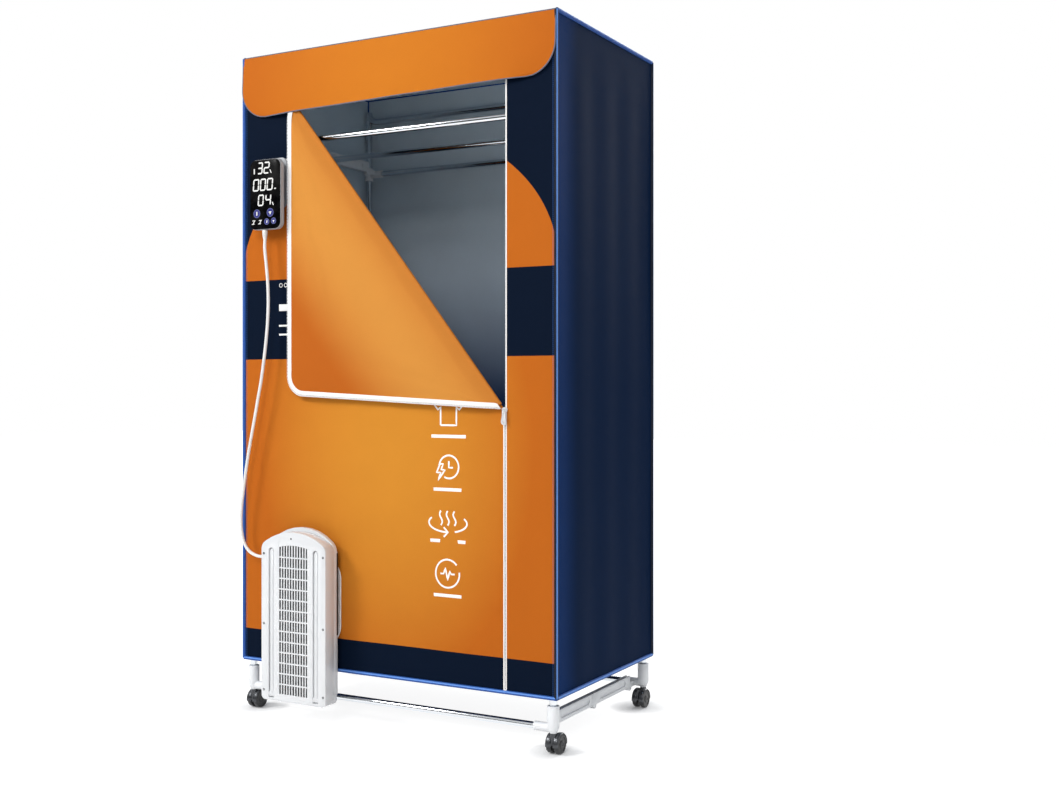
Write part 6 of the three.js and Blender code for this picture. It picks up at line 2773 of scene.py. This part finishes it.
@dataclass
class Controller:
    """The controller: case, black display window, lit figures and the cradle."""

    x: float = -0.3095
    z: float = 1.157
    half: Pair = (0.0435, 0.078)
    corner: float = 0.016
    front: float = -0.2425
    back: float = -0.2285
    glass: float = 0.0016
    glow_lift: float = 0.00015
    bar: float = 0.0032
    lean: float = 0.09

    def _spot(self, u: float, v: float) -> Pair:
        """Turn shares from the left and the top of the face into a place in X and Z."""
        return (self.x - self.half[0] + 2 * self.half[0] * u, self.z + self.half[1] - 2 * self.half[1] * v)

    def _figure(self, figure: str, u0: float, u1: float, v0: float, v1: float) -> list[list[Pair]]:
        """Draw a figure from seven bars.

        Args:
            figure: The figure.
            u0: Its left share.
            u1: Its right share.
            v0: Its top share.
            v1: Its bottom share.

        Returns:
            The bars' outlines.
        """
        lit = {"0": "abcdef", "2": "abdeg", "3": "abcdg", "4": "bcfg"}[figure]
        (x0, z1), (x1, z0) = self._spot(u0, v0), self._spot(u1, v1)
        zm, t = (z0 + z1) / 2, self.bar

        def level(z: float) -> list[Pair]:
            """Draw a level bar with pointed ends."""
            a, b = x0 + t / 2, x1 - t / 2
            tips = [(a, z), (a + t / 2, z - t / 2), (b - t / 2, z - t / 2)]
            return [*tips, (b, z), (b - t / 2, z + t / 2), (a + t / 2, z + t / 2)]

        def upright(x: float, low: float, high: float) -> list[Pair]:
            """Draw an upright bar with pointed ends."""
            tips = [(x, low), (x + t / 2, low + t / 2), (x + t / 2, high - t / 2)]
            return [*tips, (x, high), (x - t / 2, high - t / 2), (x - t / 2, low + t / 2)]

        left, right, low, high = x0 + t / 2, x1 - t / 2, z0 + t / 2, z1 - t / 2
        bars = {
            "a": level(high), "g": level(zm), "d": level(low),
            "b": upright(right, zm, high), "c": upright(right, low, zm),
            "e": upright(left, low, zm), "f": upright(left, zm, high),
        }
        return [[(x + self.lean * (z - zm), z) for x, z in bars[name]] for name in lit]

    def _ring(self, u: float, v: float, radius: float, width: float) -> list[list[Pair]]:
        """Draw a ring as two half outlines.

        Args:
            u: Its share from the left.
            v: Its share from the top.
            radius: Its outer radius.
            width: Its width.

        Returns:
            The outlines.
        """
        cx, cz = self._spot(u, v)
        halves = []
        for start in (90, 270):
            turn = [math.radians(start + 180 * k / 16) for k in range(17)]
            outer = [(cx + radius * math.cos(a), cz + radius * math.sin(a)) for a in turn]
            small = radius - width
            inner = [(cx + small * math.cos(a), cz + small * math.sin(a)) for a in reversed(turn)]
            halves.append(outer + inner)
        return halves

    def _stroke(self, u: float, v: float, width: float, height: float, slant: float = 0.0) -> list[Pair]:
        """Draw a small bar about a place of the face; the slant moves its top sideways."""
        cx, cz = self._spot(u, v)
        w, h = width / 2, height / 2
        return [(cx - w, cz - h), (cx + w, cz - h), (cx + w + slant, cz + h), (cx - w + slant, cz + h)]

    def _figures(self) -> list[list[Pair]]:
        """Draw the lit figures and the small marks beside them.

        Returns:
            The outlines.
        """
        rows = (
            (0.040, 0.210, (("3", 0.26, 0.43), ("2", 0.46, 0.65))),
            (0.275, 0.450, (("0", 0.11, 0.31), ("0", 0.34, 0.53), ("0", 0.56, 0.76))),
            (0.500, 0.664, (("0", 0.27, 0.46), ("4", 0.51, 0.70))),
        )
        drawn: list[list[Pair]] = []
        for top, bottom, figures in rows:
            for figure, left, right in figures:
                drawn += self._figure(figure, left, right, top, bottom)
        drawn.append(self._stroke(0.15, 0.165, 0.0030, 0.0115))
        drawn.append(self._stroke(0.705, 0.180, 0.0024, 0.0080, -0.0035))
        drawn.append(self._stroke(0.830, 0.430, 0.0046, 0.0026))
        drawn.append(self._stroke(0.775, 0.640, 0.0024, 0.0070, -0.0030))
        return drawn

    def _glyphs(self) -> list[list[Pair]]:
        """Draw the plain strokes inside the round keys.

        Returns:
            The outlines.
        """
        drawn = [self._stroke(0.235, 0.768, 0.0034, 0.0092), self._stroke(0.670, 0.757, 0.0082, 0.0024)]
        drawn += [
            self._stroke(0.670, 0.774, 0.0030, 0.0062), self._stroke(0.557, 0.890, 0.0026, 0.0070, 0.0012)
        ]
        drawn += [self._stroke(0.780, 0.882, 0.0064, 0.0018), self._stroke(0.780, 0.896, 0.0026, 0.0040)]
        for u in (0.115, 0.330):
            drawn.append(self._stroke(u + 0.015, 0.866, 0.0080, 0.0017, 0.0010))
            drawn.append(self._stroke(u, 0.890, 0.0024, 0.0060, 0.0034))
            drawn.append(self._stroke(u - 0.010, 0.914, 0.0074, 0.0017, 0.0010))
        return drawn

    def build(self, bench: Bench) -> None:
        """Build the controller.

        Args:
            bench: The bench.
        """
        low = (self.x - self.half[0], self.z - self.half[1])
        high = (self.x + self.half[0], self.z + self.half[1])
        case = plate(
            rounded_outline(low, high, self.corner, 12), self.front + self.glass + 0.0003, self.back
        )
        soften(case, 0.0018, 4, 60.0)
        bench.finish(
            case, "controller_body", Finish.GREY, "front_frame", "grey_plastic", ["controller_case"]
        )
        inset = 0.0012
        low = (low[0] + inset, low[1] + inset)
        high = (high[0] - inset, high[1] - inset)
        glass = plate(
            rounded_outline(low, high, self.corner - inset, 12), self.front, self.front + self.glass
        )
        soften(glass, 0.0006, 3, 60.0)
        bench.finish(
            glass, "controller_display", Finish.GLASS, "front_frame", "black_glass", ["controller_glass"]
        )
        bench.refine("controller_cradle", Finish.GREY, "grey_plastic", 0.001, 3)
        front, back = self.front - self.glow_lift, self.front + 0.0001
        lit = plates(self._figures() + self._glyphs(), front, back)
        bench.finish(lit, "controller_figures", Finish.LIT_WHITE, "front_frame", "black_glass")
        discs, rims = [], []
        for u, v, radius in (
            (0.235, 0.768, 0.0094), (0.670, 0.764, 0.0094), (0.557, 0.890, 0.0070), (0.780, 0.886, 0.0070)
        ):
            discs += self._ring(u, v, radius - 0.0006, 0.56 * radius)
            rims += self._ring(u, v, radius, 0.0009)
        bench.finish(
            plates(discs, front, back), "controller_keys", Finish.LIT_BLUE, "front_frame", "black_glass"
        )
        rim_front = front - 0.00003
        bench.finish(
            plates(rims, rim_front, back),
            "controller_key_rims",
            Finish.LIT_RIM,
            "front_frame",
            "black_glass",
        )


# ------------------------------------------------------------------ the whole cabinet


def main() -> None:
    """Build the studio and the cabinet in order."""
    logging.basicConfig(level=logging.INFO, format="%(name)s %(message)s")
    bench = Bench(Palette())
    Studio().build()
    ControlCord().build(bench)
    panel = FrontPanel().build(bench)
    Shell().build(bench)
    Valance().build(bench)
    DoorFlap().build(bench)
    ZipFastener().build(bench)
    Bindings().build(bench)
    PrintArt().build(bench, panel)
    TubeFrame().build(bench)
    Brackets().build(bench)
    Caster().build(bench)
    BlowerHost().build(bench)
    Controller().build(bench)


if __name__ == "__main__":
    main()
